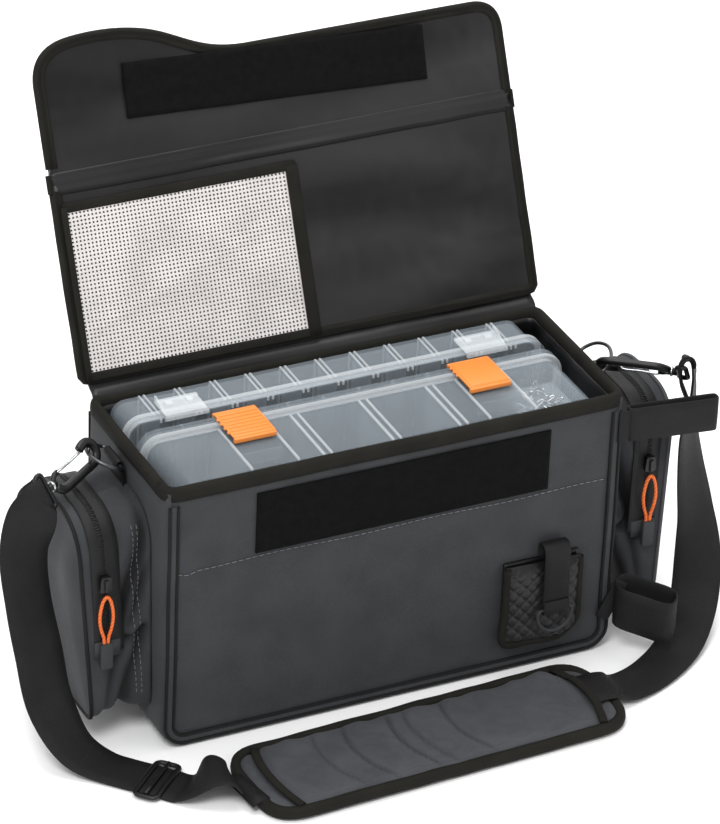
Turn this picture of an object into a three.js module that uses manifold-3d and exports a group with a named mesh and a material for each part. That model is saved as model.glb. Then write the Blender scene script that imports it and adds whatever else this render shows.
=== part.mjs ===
// Soft tackle bag: a padded fabric body with two clear tackle boxes standing in it, a lid with a
// hook-and-loop front flap, two zipped side pockets, a tool pouch, rod straps and a shoulder strap.
// Millimetres. +X is the bag's right side, +Y its back, +Z up. The origin is the centre of the base.
import * as THREE from 'three';
import { mergeVertices } from 'three/addons/utils/BufferGeometryUtils.js';
import Module from 'manifold-3d';

const wasm = await Module();
wasm.setup();

// ---- Driving dimensions ----
const bagWidth = 380;
const bagDepth = 148;
const wallTop = 226;            // top of the padded walls, under the rim binding
const wall = 6;                 // padded wall thickness
const bottomRadius = 20;        // rounded lower corners of the body, seen from the front
const gap = 0.3;                // clearance between touching pieces
const rimSkirt = 9;             // how far the rim binding laps down the walls
const webbing = 38;             // shoulder strap width
const webbingThick = 2;

const lidHalfWidth = 195;
const lidThick = 7;
const lidAxis = [65, 231];      // Y and Z of the lid's hinge line
const lidOffset = 9.4;          // inner face of the lid, measured from the hinge line
const lidLean = 24.2;           // degrees the open lid leans back
const lidStart = 12;            // distances up the lid from the hinge line
const lidEnd = 158;
const foldAt = 163;             // the flap's fold line
const flapThick = 6;
const flapHeight = 80;
const flapLobe = 110;           // the taller lobe on the left of the flap
const bindingWidth = 5;

const boxLength = 352;
const boxLow = 8.6;             // boxes stand on the lining
const boxFlangeTop = 230;
const boxFlange = 4;            // how far the flange stands out from the tub
const boxWall = 2;
const latchWidth = 35;

const pocketSeam = bagWidth / 2 + gap;
const pocketDepth = 46;
const pocketLow = 26;
const pocketTop = 196;
const pocketHalf = 55;          // half width at the bottom
const pocketTaper = 0.05;       // the pocket narrows upwards by this much per millimetre
const pocketFlare = 0.0013;     // and gets deeper upwards by this share per millimetre
const zipCentre = 33;           // distance of the zip from the bag's side
const zipWidth = 18;
const sliderHeight = 146;

const colours = {
  shell: 0x47484c, lining: 0x2b2b2c, binding: 0x23231e, tape: 0x141415, webbing: 0x1f1f20,
  mesh: 0xe9e4e2, clear: 0xc9d2d8, orange: 0xf59a50, cord: 0xee7340, steel: 0xb9bbbd, plastic: 0x1a1a1b,
  grey: 0x55575a,
};

const bag = new THREE.Group();

// ---- Helpers ----
function add(name, geometry, colour, parent = bag, roughness = 0.85, metalness = 0) {
  const material = new THREE.MeshStandardMaterial({ color: colour, roughness, metalness });
  const mesh = new THREE.Mesh(geometry, material);
  mesh.name = name;
  parent.add(mesh);
  return mesh;
}

function block(x0, x1, y0, y1, z0, z1) {
  const geometry = new THREE.BoxGeometry(x1 - x0, y1 - y0, z1 - z0);
  return geometry.translate((x0 + x1) / 2, (y0 + y1) / 2, (z0 + z1) / 2);
}

// A shape drawn as (X, Z), given depth from y0 to y1.
function alongY(shape, y0, y1, segments = 4) {
  const geometry = new THREE.ExtrudeGeometry(shape, {
    depth: y1 - y0, bevelEnabled: false, curveSegments: segments,
  });
  return geometry.rotateX(Math.PI / 2).translate(0, y1, 0);
}

// A shape drawn as (Y, Z), given depth from x0 to x1.
function alongX(shape, x0, x1, segments = 4) {
  const geometry = new THREE.ExtrudeGeometry(shape, {
    depth: x1 - x0, bevelEnabled: false, curveSegments: segments,
  });
  return geometry.rotateX(Math.PI / 2).rotateZ(Math.PI / 2).translate(x0, 0, 0);
}

// A shape drawn as (X, Y), given height from z0 to z1.
function alongZ(shape, z0, z1, segments = 4) {
  const geometry = new THREE.ExtrudeGeometry(shape, {
    depth: z1 - z0, bevelEnabled: false, curveSegments: segments,
  });
  return geometry.translate(0, 0, z0);
}

// A closed outline through corner points [a, b, radius], rounded at each corner.
function rounded(corners) {
  const shape = new THREE.Shape();
  corners.forEach(([a, b, radius], i) => {
    const corner = new THREE.Vector2(a, b);
    const before = new THREE.Vector2(...corners.at(i - 1).slice(0, 2));
    const after = new THREE.Vector2(...corners[(i + 1) % corners.length].slice(0, 2));
    const enter = corner.clone().add(before.sub(corner).setLength(radius));
    const leave = corner.clone().add(after.sub(corner).setLength(radius));
    if (i === 0) {
      shape.moveTo(enter.x, enter.y);
    } else {
      shape.lineTo(enter.x, enter.y);
    }
    if (radius > 0) {
      shape.quadraticCurveTo(a, b, leave.x, leave.y);
    }
  });
  shape.closePath();
  return shape;
}

function roundedBox(a0, a1, b0, b1, radius) {
  return rounded([[a0, b0, radius], [a1, b0, radius], [a1, b1, radius], [a0, b1, radius]]);
}

function toSolid(geometry) {
  const bare = geometry.clone();
  bare.deleteAttribute('normal');
  bare.deleteAttribute('uv');
  const merged = mergeVertices(bare.index ? bare.toNonIndexed() : bare, 1e-4);
  return new wasm.Manifold(new wasm.Mesh({
    numProp: 3,
    vertProperties: new Float32Array(merged.attributes.position.array),
    triVerts: new Uint32Array(merged.index.array),
  }));
}

function toGeometry(solid) {
  const mesh = solid.getMesh();
  const geometry = new THREE.BufferGeometry();
  geometry.setAttribute('position', new THREE.BufferAttribute(mesh.vertProperties, 3));
  geometry.setIndex(new THREE.BufferAttribute(mesh.triVerts, 1));
  return geometry;
}

function cut(geometry, ...tools) {
  return toGeometry(tools.reduce((solid, tool) => solid.subtract(toSolid(tool)), toSolid(geometry)));
}

function join(...geometries) {
  return toGeometry(geometries.map(toSolid).reduce((whole, solid) => whole.add(solid)));
}

// Moves every point of a geometry by a rule that takes and changes a vector.
function reshape(geometry, rule) {
  const place = geometry.attributes.position;
  const point = new THREE.Vector3();
  for (let i = 0; i < place.count; i += 1) {
    point.fromBufferAttribute(place, i);
    rule(point);
    place.setXYZ(i, point.x, point.y, point.z);
  }
  return geometry;
}

// Turns a piece made for the bag's right side into its mirror image for the left.
function mirrored(geometry) {
  const copy = geometry.index ? geometry.toNonIndexed() : geometry.clone();
  reshape(copy, (point) => { point.x = -point.x; });
  const place = copy.attributes.position;
  for (let i = 0; i < place.count; i += 3) {
    const second = [place.getX(i + 1), place.getY(i + 1), place.getZ(i + 1)];
    place.setXYZ(i + 1, place.getX(i + 2), place.getY(i + 2), place.getZ(i + 2));
    place.setXYZ(i + 2, ...second);
  }
  return copy;
}

// A flat strap: a rectangular section swept through route points [x, y, z, across x, y, z],
// where the last three give the direction of the strap's width there.
function strap(route, width, thick, steps) {
  const centre = new THREE.CatmullRomCurve3(route.map((p) => new THREE.Vector3(p[0], p[1], p[2])));
  const across = new THREE.CatmullRomCurve3(route.map((p) => new THREE.Vector3(p[3], p[4], p[5])));
  const corners = [];
  for (let i = 0; i <= steps; i += 1) {
    const at = centre.getPoint(i / steps);
    const along = centre.getTangent(i / steps);
    const side = across.getPoint(i / steps);
    side.addScaledVector(along, -side.dot(along)).setLength(width / 2);
    const face = along.clone().cross(side).setLength(thick / 2);
    corners.push([
      at.clone().add(side).add(face), at.clone().sub(side).add(face),
      at.clone().sub(side).sub(face), at.clone().add(side).sub(face),
    ]);
  }
  const faces = [];
  const quad = (a, b, c, d) => faces.push(a, b, c, a, c, d);
  for (let i = 0; i < steps; i += 1) {
    for (let j = 0; j < 4; j += 1) {
      const k = (j + 1) % 4;
      quad(corners[i][j], corners[i + 1][j], corners[i + 1][k], corners[i][k]);
    }
  }
  quad(...corners[0]);
  quad(...corners[steps].slice().reverse());
  return new THREE.BufferGeometry().setFromPoints(outward(faces));
}

// Reverses a list of triangles if it encloses a negative volume.
function outward(faces) {
  let volume = 0;
  for (let i = 0; i < faces.length; i += 3) {
    volume += faces[i].dot(faces[i + 1].clone().cross(faces[i + 2]));
  }
  return volume > 0 ? faces : faces.slice().reverse();
}

// A closed ring of round wire through the given points.
function wireRing(points, radius, steps, sides = 6) {
  const places = points.map((p) => new THREE.Vector3(...p));
  const curve = new THREE.CatmullRomCurve3(places, true, 'centripetal');
  return new THREE.TubeGeometry(curve, steps, radius, sides, true);
}

// ---- Body walls ----
const halfWidth = bagWidth / 2;
const halfDepth = bagDepth / 2;
const innerX = halfWidth - wall + gap;

function frontOutline(inset, top, radius) {
  const side = halfWidth - inset;
  return rounded([[-side, inset, radius], [side, inset, radius], [side, top, 0], [-side, top, 0]]);
}

function walls() {
  const panel = () => frontOutline(wall + gap, wallTop, bottomRadius - wall);
  add('front_panel', alongY(panel(), -halfDepth, -halfDepth + wall), colours.shell);
  add('back_panel', alongY(panel(), halfDepth - wall, halfDepth), colours.shell);

  const baseTop = 26;
  const band = cut(
    alongY(frontOutline(0, baseTop, bottomRadius), -halfDepth, halfDepth),
    alongY(frontOutline(wall, baseTop + 1, bottomRadius - wall), -halfDepth - 1, halfDepth + 1),
  );
  add('base_panel', band, colours.shell);

  const side = roundedBox(halfWidth - wall + gap, halfWidth, -halfDepth, halfDepth, 2.5);
  const rightSide = alongZ(side, baseTop + gap, wallTop, 3);
  add('right_side_panel', rightSide, colours.shell);
  add('left_side_panel', mirrored(rightSide), colours.shell);
}

function lining() {
  const x = innerX - 2 * gap;
  const y = halfDepth - wall - gap;
  const low = wall + gap;
  const thick = 2;
  const radius = bottomRadius - wall;
  const outer = rounded([[-x, low, radius], [x, low, radius], [x, wallTop, 0], [-x, wallTop, 0]]);
  const inner = rounded([
    [-x + thick, low + thick, radius], [x - thick, low + thick, radius],
    [x - thick, wallTop + 1, 0], [-x + thick, wallTop + 1, 0],
  ]);
  const shell = cut(alongY(outer, -y, y), alongY(inner, -y + thick, y - thick));
  add('inner_lining', shell, colours.lining);
}

function rim() {
  const lap = 1.8;
  const low = wallTop - rimSkirt;
  const top = wallTop + 3;
  const x = halfWidth + lap;
  const y = halfDepth + lap;
  const ring = alongZ(roundedBox(-x, x, -y, y, 5), low, top);
  const body = block(
    -halfWidth - gap, halfWidth + gap, -halfDepth - gap, halfDepth + gap, low - 1, wallTop + gap,
  );
  const mouth = block(
    -halfWidth + wall + 2, halfWidth - wall - 2, -halfDepth + wall + 2.3, halfDepth - wall - 2.3, low, top + 1,
  );
  add('rim_binding', cut(ring, body, mouth), colours.binding);
}

// Raised cord along the seam round the front or back panel, open at the top.
function piping(name, inset, y0, y1) {
  const thick = 3;
  const top = wallTop - rimSkirt - gap;
  const outer = alongY(frontOutline(inset, top, bottomRadius - inset), y0, y1);
  const inner = alongY(frontOutline(inset + thick, top + 1, bottomRadius - inset - thick), y0 - 1, y1 + 1);
  add(name, cut(outer, inner), colours.binding);
}

// ---- Front fittings ----
const frontFace = -halfDepth;

function frontTape() {
  add('front_loop_tape', block(-117, 127, frontFace - gap - 2, frontFace - gap, 159, 211), colours.tape);
}

const pouchFront = frontFace - 10;
const pouchStrapX = [122, 144];
const ringBarHeight = 57;
const ringBarY = pouchFront - 4.3;

function toolPouch() {
  const outline = rounded([[94, 28, 3], [140, 24, 3], [155, 34, 3], [157, 90, 2], [93, 98, 2]]);
  const hollow = rounded([[96.5, 31, 3], [139, 27, 3], [152.5, 36, 3], [154.5, 110, 0], [95.5, 110, 0]]);
  const sleeve = cut(
    alongY(outline, pouchFront, frontFace - gap, 3),
    alongY(hollow, pouchFront + 2.5, frontFace, 3),
  );
  add('tool_pouch', sleeve, colours.lining);

  const back = frontFace - gap - 0.4;
  const front = pouchFront - 5;
  const top = 114;
  const outer = rounded([[back, 100, 0], [back, top, 6], [front, top, 6], [front, ringBarHeight + 3, 0],
    [front + 2, ringBarHeight + 3, 0], [front + 2, top - 2, 4], [back - 2, top - 2, 4], [back - 2, 100, 0]]);
  const eye = new THREE.Shape().absarc(ringBarY, ringBarHeight, 3.8, 0, Math.PI * 2);
  const bore = new THREE.Shape().absarc(ringBarY, ringBarHeight, 2, 0, Math.PI * 2);
  const loop = cut(
    join(alongX(outer, ...pouchStrapX), alongX(eye, ...pouchStrapX)),
    alongX(bore, pouchStrapX[0] - 1, pouchStrapX[1] + 1),
  );
  add('pouch_strap', loop, colours.webbing);

  const middle = (pouchStrapX[0] + pouchStrapX[1]) / 2;
  const ring = dRing(27, 20, 1.5).rotateX(-Math.PI / 2);
  add('pouch_ring', ring.translate(middle, ringBarY, ringBarHeight), colours.grey, bag, 0.5);
}

// A D-shaped wire ring: its straight bar lies along X at the origin, its bow reaches +Y.
function dRing(width, depth, radius) {
  const half = width / 2;
  return wireRing([
    [-half, 0, 0], [3 - half, 0, 0], [0, 0, 0], [half - 3, 0, 0], [half, 0, 0], [half + 1, depth * 0.35, 0],
    [half * 0.72, depth * 0.8, 0], [0, depth, 0], [-half * 0.72, depth * 0.8, 0], [-half - 1, depth * 0.35, 0],
  ], radius, 33);
}

// A flat loop of webbing that stands out from the bag's front right edge, drawn along +X.
function sideLoop(length, thick, height) {
  const skin = 2.2;
  const outer = alongZ(roundedBox(0, length, -thick / 2, thick / 2, thick / 2 - 0.5), 0, height);
  const hole = alongZ(
    roundedBox(skin, length - skin, -thick / 2 + skin, thick / 2 - skin, thick / 2 - skin - 0.4), -1, height + 1,
  );
  return cut(outer, hole);
}

function rodStraps() {
  const upper = sideLoop(74, 14, 31).rotateZ(-8 * Math.PI / 180);
  add('upper_rod_strap', upper.translate(halfWidth + 2.6, -halfDepth, 186), colours.webbing);
  const lower = reshape(sideLoop(50, 26, 36), (point) => { point.z -= point.x * 0.2; });
  lower.rotateZ(-38 * Math.PI / 180);
  add('lower_rod_loop', lower.translate(halfWidth + 2, -halfDepth - 1, 26), colours.webbing);
}

// ---- Side pockets, made for the right side ----
function pocketOutline(outset) {
  const half = pocketHalf + outset;
  const top = pocketTop + outset;
  const topHalf = half - pocketTaper * (top - pocketLow);
  return rounded([
    [-half, pocketLow - outset, 12 + outset], [half, pocketLow - outset, 12 + outset],
    [topHalf, top, 34 + outset], [-topHalf, top, 34 + outset],
  ]);
}

function flare(point) {
  point.x = pocketSeam + (point.x - pocketSeam) * (1 + pocketFlare * (point.z - pocketLow));
}

function pocketRing(out0, out1, x0, x1) {
  return cut(alongX(pocketOutline(out1), x0, x1, 6), alongX(pocketOutline(out0), x0 - 1, x1 + 1, 6));
}

function pocketPieces() {
  const outer = pocketSeam + pocketDepth;
  const zipX = pocketSeam + zipCentre;
  const zipLow = 98;
  const zip = cut(
    pocketRing(gap, 1.8, zipX - zipWidth / 2, zipX + zipWidth / 2),
    block(zipX - 30, zipX + 30, -100, 100, 0, zipLow),
  );
  return {
    pocket_gusset: [pocketRing(-3, 0, pocketSeam, outer), colours.shell],
    pocket_face: [alongX(pocketOutline(0), outer + gap, outer + 4, 6), colours.shell],
    pocket_piping: [pocketRing(gap, 3.6, outer, outer + 4), colours.grey],
    pocket_zip: [zip, colours.tape],
  };
}

// The slider's place on the front run of the zip.
const sliderX = pocketSeam + zipCentre * (1 + pocketFlare * (sliderHeight - pocketLow));
const sliderY = -pocketHalf + pocketTaper * (sliderHeight - pocketLow) - 1.8;
const pullTop = sliderHeight - 8;

function zipPulls() {
  const body = rounded([[-5, -7, 2], [5, -7, 2], [4, 6, 2], [-4, 6, 2]]);
  const slider = join(
    alongY(body, sliderY - 3.8, sliderY - 0.8, 3),
    alongY(roundedBox(-1.5, 1.5, -6, 4, 1), sliderY - 6, sliderY - 3.5, 2),
  );
  const z = pullTop - 0.6;
  const y = sliderY - 5;
  const loop = wireRing([
    [0, y, z - 1.5], [4.5, y, z - 10], [6, y, z - 22], [3, y, z - 36], [0, y - 0.2, z - 40],
    [-3, y, z - 36], [-6, y, z - 22], [-4.5, y, z - 10],
  ], 1.4, 28, 6);
  const tab = alongY(roundedBox(-4.8, 4.8, z - 64, z - 42, 2), y - 2.8, y + 1.6, 3);
  return {
    zip_slider: [slider.translate(sliderX, 0, sliderHeight), colours.plastic],
    zip_cord: [loop.translate(sliderX, 0, 0), colours.cord],
    zip_tab: [tab.translate(sliderX, 0, 0), colours.grey],
  };
}

function sidePockets() {
  const pieces = pocketPieces();
  Object.entries(pieces).forEach(([name, [geometry, colour]]) => {
    const flared = reshape(geometry, flare);
    add(`right_${name}`, flared, colour);
    add(`left_${name}`, mirrored(flared), colour);
  });
  Object.entries(zipPulls()).forEach(([name, [geometry, colour]]) => {
    add(`right_${name}`, geometry, colour);
    add(`left_${name}`, mirrored(geometry), colour);
  });
}

// ---- Strap fittings ----
const ringX = halfWidth + 6.3;
const ringZ = 212;
const ringDepth = 22;

function ringTab() {
  const half = 11;
  const plate = roundedBox(halfWidth + gap, halfWidth + 2.4, 198.5, ringZ, 0.6);
  const eye = new THREE.Shape().absarc(ringX, ringZ, 4.1, 0, Math.PI * 2);
  const bore = new THREE.Shape().absarc(ringX, ringZ, 2.1, 0, Math.PI * 2);
  return cut(
    join(
      alongY(plate, -half, half, 2),
      alongY(eye, -half, half),
      block(halfWidth + gap, ringX - 2, -half, half, ringZ - 4, ringZ),
    ),
    alongY(bore, -half - 3, half + 3),
  );
}

// The hook lies in a plane: the ring it holds is at the origin and its strap eye lies along +X.
function hookShape() {
  const shape = new THREE.Shape();
  shape.moveTo(0, -10.5);
  shape.lineTo(40, -10.5);
  shape.lineTo(46, -3.5);
  shape.lineTo(50, -3.5);
  shape.lineTo(50, -15);
  shape.lineTo(60, -15);
  shape.lineTo(60, 15);
  shape.lineTo(50, 15);
  shape.lineTo(50, 3.5);
  shape.lineTo(46, 3.5);
  shape.lineTo(42, 7);
  shape.lineTo(38, 7);
  shape.lineTo(38, -6.4);
  shape.lineTo(0, -6.4);
  shape.absarc(0, 0, 6.4, -Math.PI / 2, Math.PI / 3, true);
  shape.absarc(0, 0, 10.5, Math.PI / 3, 1.5 * Math.PI, false);
  const slot = new THREE.Path();
  slot.moveTo(53, -12);
  slot.lineTo(57, -12);
  slot.lineTo(57, 12);
  slot.lineTo(53, 12);
  slot.closePath();
  shape.holes.push(slot);
  return shape;
}

// Places a flat fitting: its origin at one point, +X towards another, and its face along a normal.
function aim(geometry, from, to, normal) {
  const u = new THREE.Vector3(...to).sub(new THREE.Vector3(...from)).normalize();
  const w = new THREE.Vector3(...normal);
  w.addScaledVector(u, -w.dot(u)).normalize();
  const v = w.clone().cross(u);
  const turn = new THREE.Matrix4().makeBasis(u, v, w).setPosition(...from);
  return geometry.applyMatrix4(turn);
}

function snapHook(side, from, to, normal) {
  const body = alongZ(hookShape(), -2.2, 2.2, 5);
  add(`${side}_snap_hook`, aim(body, from, to, normal), colours.plastic, bag, 0.5);
  const gate = block(6.4, 37.6, 4.4, 6.8, -1.6, 1.6);
  add(`${side}_hook_gate`, aim(gate, from, to, normal), colours.steel, bag, 0.25, 1);
}

// Each side's ring leans out from the bag's side by this angle, in degrees above level.
const leftRingTilt = 22;
const rightRingTilt = 35;
const leftRingY = 10;

function ringOnSide(sign, tilt, y) {
  const ring = dRing(33, ringDepth, 1.7).rotateZ(-Math.PI / 2);
  ring.rotateY(-tilt * Math.PI / 180);
  if (sign < 0) {
    ring.rotateZ(Math.PI);
  }
  return ring.translate(sign * ringX, y, ringZ);
}

function strapFittings() {
  const tab = ringTab();
  add('right_ring_tab', tab, colours.webbing);
  add('left_ring_tab', mirrored(tab).translate(0, leftRingY, 0), colours.webbing);
  add('right_d_ring', ringOnSide(1, rightRingTilt, 0), colours.steel, bag, 0.25, 1);
  add('left_d_ring', ringOnSide(-1, leftRingTilt, leftRingY), colours.steel, bag, 0.25, 1);
  snapHook('left', [-216.7, leftRingY, 220.3], [-257.7, -16, 215.3], [-0.3, 0.75, -0.45]);
  snapHook('right', [207.6, -18.6, 220.4], [244.5, -47.3, 221.5], [0.5, 0.5, 0.68]);
}

// ---- Shoulder strap: route points with the direction of the strap's width ----
const leftRoute = [
  [-270.4, -24.2, 213.2, 0.34, -0.38, -0.86], [-276, -25, 198, 0.62, -0.42, -0.6],
  [-281, -22, 168, 0.95, -0.05, -0.15], [-278, -24, 125, 1, 0.1, 0], [-273, -32, 85, 1, 0, 0],
  [-269, -46, 45, 1, 0.1, 0.1], [-257, -66, 15, 0.9, 0.5, 0.1], [-240, -81, 3.6, 0.78, 0.63, 0],
  [-227, -94.1, 1.9, 0.735, 0.678, 0], [-216, -106, 1.9, 0.735, 0.678, 0],
  [-204, -119, 1.9, 0.735, 0.678, 0], [-195, -128.7, 1.9, 0.735, 0.678, 0],
  [-187.5, -135.5, 11, 0.5, 0.85, 0.05], [-179, -140, 20, 0.25, 0.96, 0.05], [-169, -145, 19, 0.1, 1, 0],
  [-161, -150, 9, 0, 1, 0],
];
const rightRoute = [
  [166, -138, 5, 0, -1, 0], [186, -132, 2.8, 0.25, -0.97, 0], [210, -121, 2.8, 0.45, -0.9, 0],
  [238, -102, 6, 0.65, -0.76, 0], [262, -78, 20, 0.75, -0.66, 0], [277, -56, 50, 0.93, -0.3, 0],
  [280, -45, 90, 1, 0, 0], [276, -42, 130, 1, 0, 0], [273, -46, 170, 1, 0.2, 0],
  [265, -49, 203, 0.9, 0.3, -0.2], [256.6, -56.6, 221.8, 0.43, 0.53, -0.7],
];

function shoulderStrap() {
  add('strap_left', strap(leftRoute, webbing, webbingThick, 30), colours.webbing);
  add('strap_right', strap(rightRoute, webbing, webbingThick, 26), colours.webbing);

  const outline = rounded([[-155, -46, 30], [155, -46, 30], [155, 46, 30], [-155, 46, 30]]);
  const inner = rounded([[-150, -41, 26], [150, -41, 26], [150, 41, 26], [-150, 41, 26]]);
  const core = rounded([[-149.7, -40.7, 26], [149.7, -40.7, 26], [149.7, 40.7, 26], [-149.7, 40.7, 26]]);
  const place = (geometry) => geometry.rotateZ(2.4 * Math.PI / 180).translate(0, -146, 0);
  add('shoulder_pad', place(alongZ(core, gap, 11)), colours.shell);
  const edge = cut(alongZ(outline, 2, 9), alongZ(inner, 1, 10));
  add('shoulder_pad_binding', place(edge), colours.binding);
}

// The strap's three-bar adjuster lies flat on the strap: its frame, the slot in it and its place.
const adjusterFrame = { along: 8, across: 24, thick: 6.6 };
const adjusterSlot = { across: 21, low: 0.5, high: 4.6 };
const adjusterPlace = [-210, -112.5, 0.1];
const strapHeading = Math.atan2(-13, 12);

function adjuster() {
  const { along, across, thick } = adjusterFrame;
  const slot = adjusterSlot;
  const frame = cut(
    block(-along, along, -across, across, 0, thick),
    block(-along - 1, along + 1, -slot.across, slot.across, slot.low, slot.high),
  );
  frame.rotateZ(strapHeading).translate(...adjusterPlace);
  add('strap_adjuster', frame, colours.plastic, bag, 0.5);
}

// ---- Lid ----
const lid = new THREE.Group();
lid.position.set(0, lidAxis[0], lidAxis[1]);
lid.rotation.x = -lidLean * Math.PI / 180;
bag.add(lid);
const lidInner = lidOffset;
const lidOuter = lidOffset + lidThick;

function lidPieces() {
  const x = lidHalfWidth - bindingWidth;
  add('lid_panel', block(-x + gap, x - gap, lidInner, lidOuter, lidStart, lidEnd), colours.lining, lid);
  const low = lidStart - 4;
  const edge = cut(
    block(-lidHalfWidth, lidHalfWidth, lidInner - 0.8, lidOuter + 0.8, low, lidEnd),
    block(-x, x, lidInner - 2, lidOuter + 2, lidStart - gap, lidEnd + 1),
  );
  add('lid_binding', edge, colours.binding, lid);

  const meshBox = [-184, -3, 19, 140];
  const frame = cut(
    block(-189.4, 6, lidInner - 2.2, lidInner - gap, 12.3, 149),
    block(meshBox[0], meshBox[1], lidInner - 3, lidInner, meshBox[2], meshBox[3]),
  );
  add('mesh_pocket_binding', frame, colours.binding, lid);
  add('mesh_pocket', block(
    meshBox[0] + gap, meshBox[1] - gap, lidInner - 1.7, lidInner - 0.7, meshBox[2] + gap, meshBox[3] - gap,
  ), colours.mesh, lid);

  const band = new THREE.Shape().absarc(lidInner + 1, foldAt, 3, 0, Math.PI * 2);
  add('lid_crease_band', alongX(band, -x, x, 2), colours.lining, lid);
  add('lid_hinge_strip', block(-186, 186, lidAxis[0] + 2, lidAxis[0] + 10, wallTop + 3.4, 234.4), colours.lining);
}

// ---- Flap, drawn from its fold line ----
const flap = new THREE.Group();
flap.position.set(0, lidInner + 1, foldAt);
lid.add(flap);

function flapOutline(inset, low) {
  const side = lidHalfWidth - inset;
  const top = flapHeight - inset;
  const lobe = flapLobe - inset;
  const shape = new THREE.Shape();
  shape.moveTo(-side, low);
  shape.lineTo(-side, lobe - 34);
  shape.quadraticCurveTo(-side, lobe - 5, -side + 32, lobe - 2);
  shape.quadraticCurveTo(-130, lobe + 1, -104, lobe - 5);
  shape.bezierCurveTo(-74, lobe - 12, -62, top + 1, -22, top);
  shape.lineTo(side - 22, top);
  shape.quadraticCurveTo(side, top, side, top - 22);
  shape.lineTo(side, low);
  shape.closePath();
  return shape;
}

function flapPieces() {
  const inner = -1;
  const outer = inner + flapThick;
  add('flap_panel', alongY(flapOutline(bindingWidth + gap, 5), inner, outer), colours.lining, flap);
  const edge = cut(
    alongY(flapOutline(0, 5), inner - 0.8, outer + 0.8),
    alongY(flapOutline(bindingWidth, 4), inner - 2, outer + 2),
  );
  add('flap_binding', edge, colours.binding, flap);
  const tape = block(-124.5, 124.5, inner - 3.4, inner - 1.1, -21, 21);
  tape.rotateY(2.7 * Math.PI / 180).translate(0, 0, 54);
  add('flap_hook_tape', tape, colours.tape, flap);
}

// ---- Tackle boxes, standing on edge. The lid side faces +Y when facing is 1, -Y when it is -1 ----
function tackleBox(name, left, lidFace, depth, facing, makeLatch, latches) {
  const right = left + boxLength;
  const toY = (distance) => lidFace - facing * distance;
  const span = (a, b) => [Math.min(toY(a), toY(b)), Math.max(toY(a), toY(b))];
  const outline = (inset, radius) => roundedBox(
    left + inset, right - inset, boxLow + inset, boxFlangeTop - inset, radius,
  );
  const lidDepth = 6.7;
  const rimDepth = 6;
  const cover = cut(
    alongY(outline(0, 16), ...span(0, lidDepth)),
    alongY(outline(boxWall, 14), ...span(boxWall, lidDepth + 1)),
  );
  add(`${name}_lid`, cover, colours.clear, bag, 0.2);

  const rim = alongY(outline(0, 16), ...span(lidDepth + gap, lidDepth + rimDepth));
  const tub = alongY(outline(boxFlange, 12), ...span(lidDepth + gap, depth));
  const hollow = alongY(outline(boxFlange + boxWall, 10), ...span(lidDepth - 1, depth - boxWall));
  add(`${name}_tub`, cut(join(rim, tub), hollow), colours.clear, bag, 0.2);

  latches.forEach(([side, centre]) => makeLatch(`${name}_${side}_latch`, centre, toY));
}

// The hinge line of a latch sits just outside the box's lid face.
const latchAxis = { out: 2.1, z: 229.4 };

function latchBase(toY) {
  const barrel = new THREE.Shape().absarc(toY(-latchAxis.out), latchAxis.z, 1.7, 0, Math.PI * 2);
  return (x0, x1) => alongX(barrel, x0, x1, 3);
}

function solidLatch(name, centre, toY) {
  const x = [centre - latchWidth / 2, centre + latchWidth / 2];
  const plate = rounded([
    [toY(-latchAxis.out), 229.6, 0], [toY(2), 230.5, 0], [toY(35), 229.6, 0], [toY(36), 227.4, 0],
    [toY(38), 227.2, 0], [toY(38), 231, 1], [toY(0), 233, 1], [toY(-latchAxis.out), 231, 0],
  ]);
  add(name, join(alongX(plate, ...x, 2), latchBase(toY)(...x)), colours.orange, bag, 0.4);
}

function clearLatch(name, centre, toY) {
  const x = [centre - latchWidth / 2, centre + latchWidth / 2];
  const plate = new THREE.Shape([
    [toY(-latchAxis.out), 229.6], [toY(2), 230.6], [toY(22), 230.6], [toY(22), 232.6], [toY(0), 232.6],
    [toY(-latchAxis.out), 231],
  ].map((p) => new THREE.Vector2(...p)));
  const fin = new THREE.Shape([
    [toY(2), 231], [toY(22), 231], [toY(22), 237.4], [toY(19), 237.4],
  ].map((p) => new THREE.Vector2(...p)));
  const finX = centre < 0 ? x[0] : x[1] - 2;
  add(name, join(
    alongX(plate, ...x), latchBase(toY)(...x), alongX(fin, finX, finX + 2),
  ), colours.clear, bag, 0.2);
}

function boxes() {
  tackleBox('front_box', -179, 9, 74, 1, solidLatch, [['left', -98], ['right', 98]]);
  tackleBox('rear_box', -180, 21, 43, -1, clearLatch, [['left', -132], ['right', 119]]);
}

walls();
lining();
rim();
piping('front_piping_outer', 1.5, frontFace - gap - 3, frontFace - gap);
piping('front_piping_inner', 8.5, frontFace - gap - 3, frontFace - gap);
piping('back_piping', 1.5, halfDepth + gap, halfDepth + gap + 3);
frontTape();
toolPouch();
rodStraps();
sidePockets();
strapFittings();
shoulderStrap();
adjuster();
lidPieces();
flapPieces();
boxes();

export default bag;
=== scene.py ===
# A soft tackle bag with its lid open, two clear tackle boxes standing in it, and a shoulder strap
# lying round its front. Sizes here are millimetres in the CAD frame unless a name says otherwise.
import math
import random

import bmesh
import bpy
from mathutils import Matrix, Vector, noise


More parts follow.
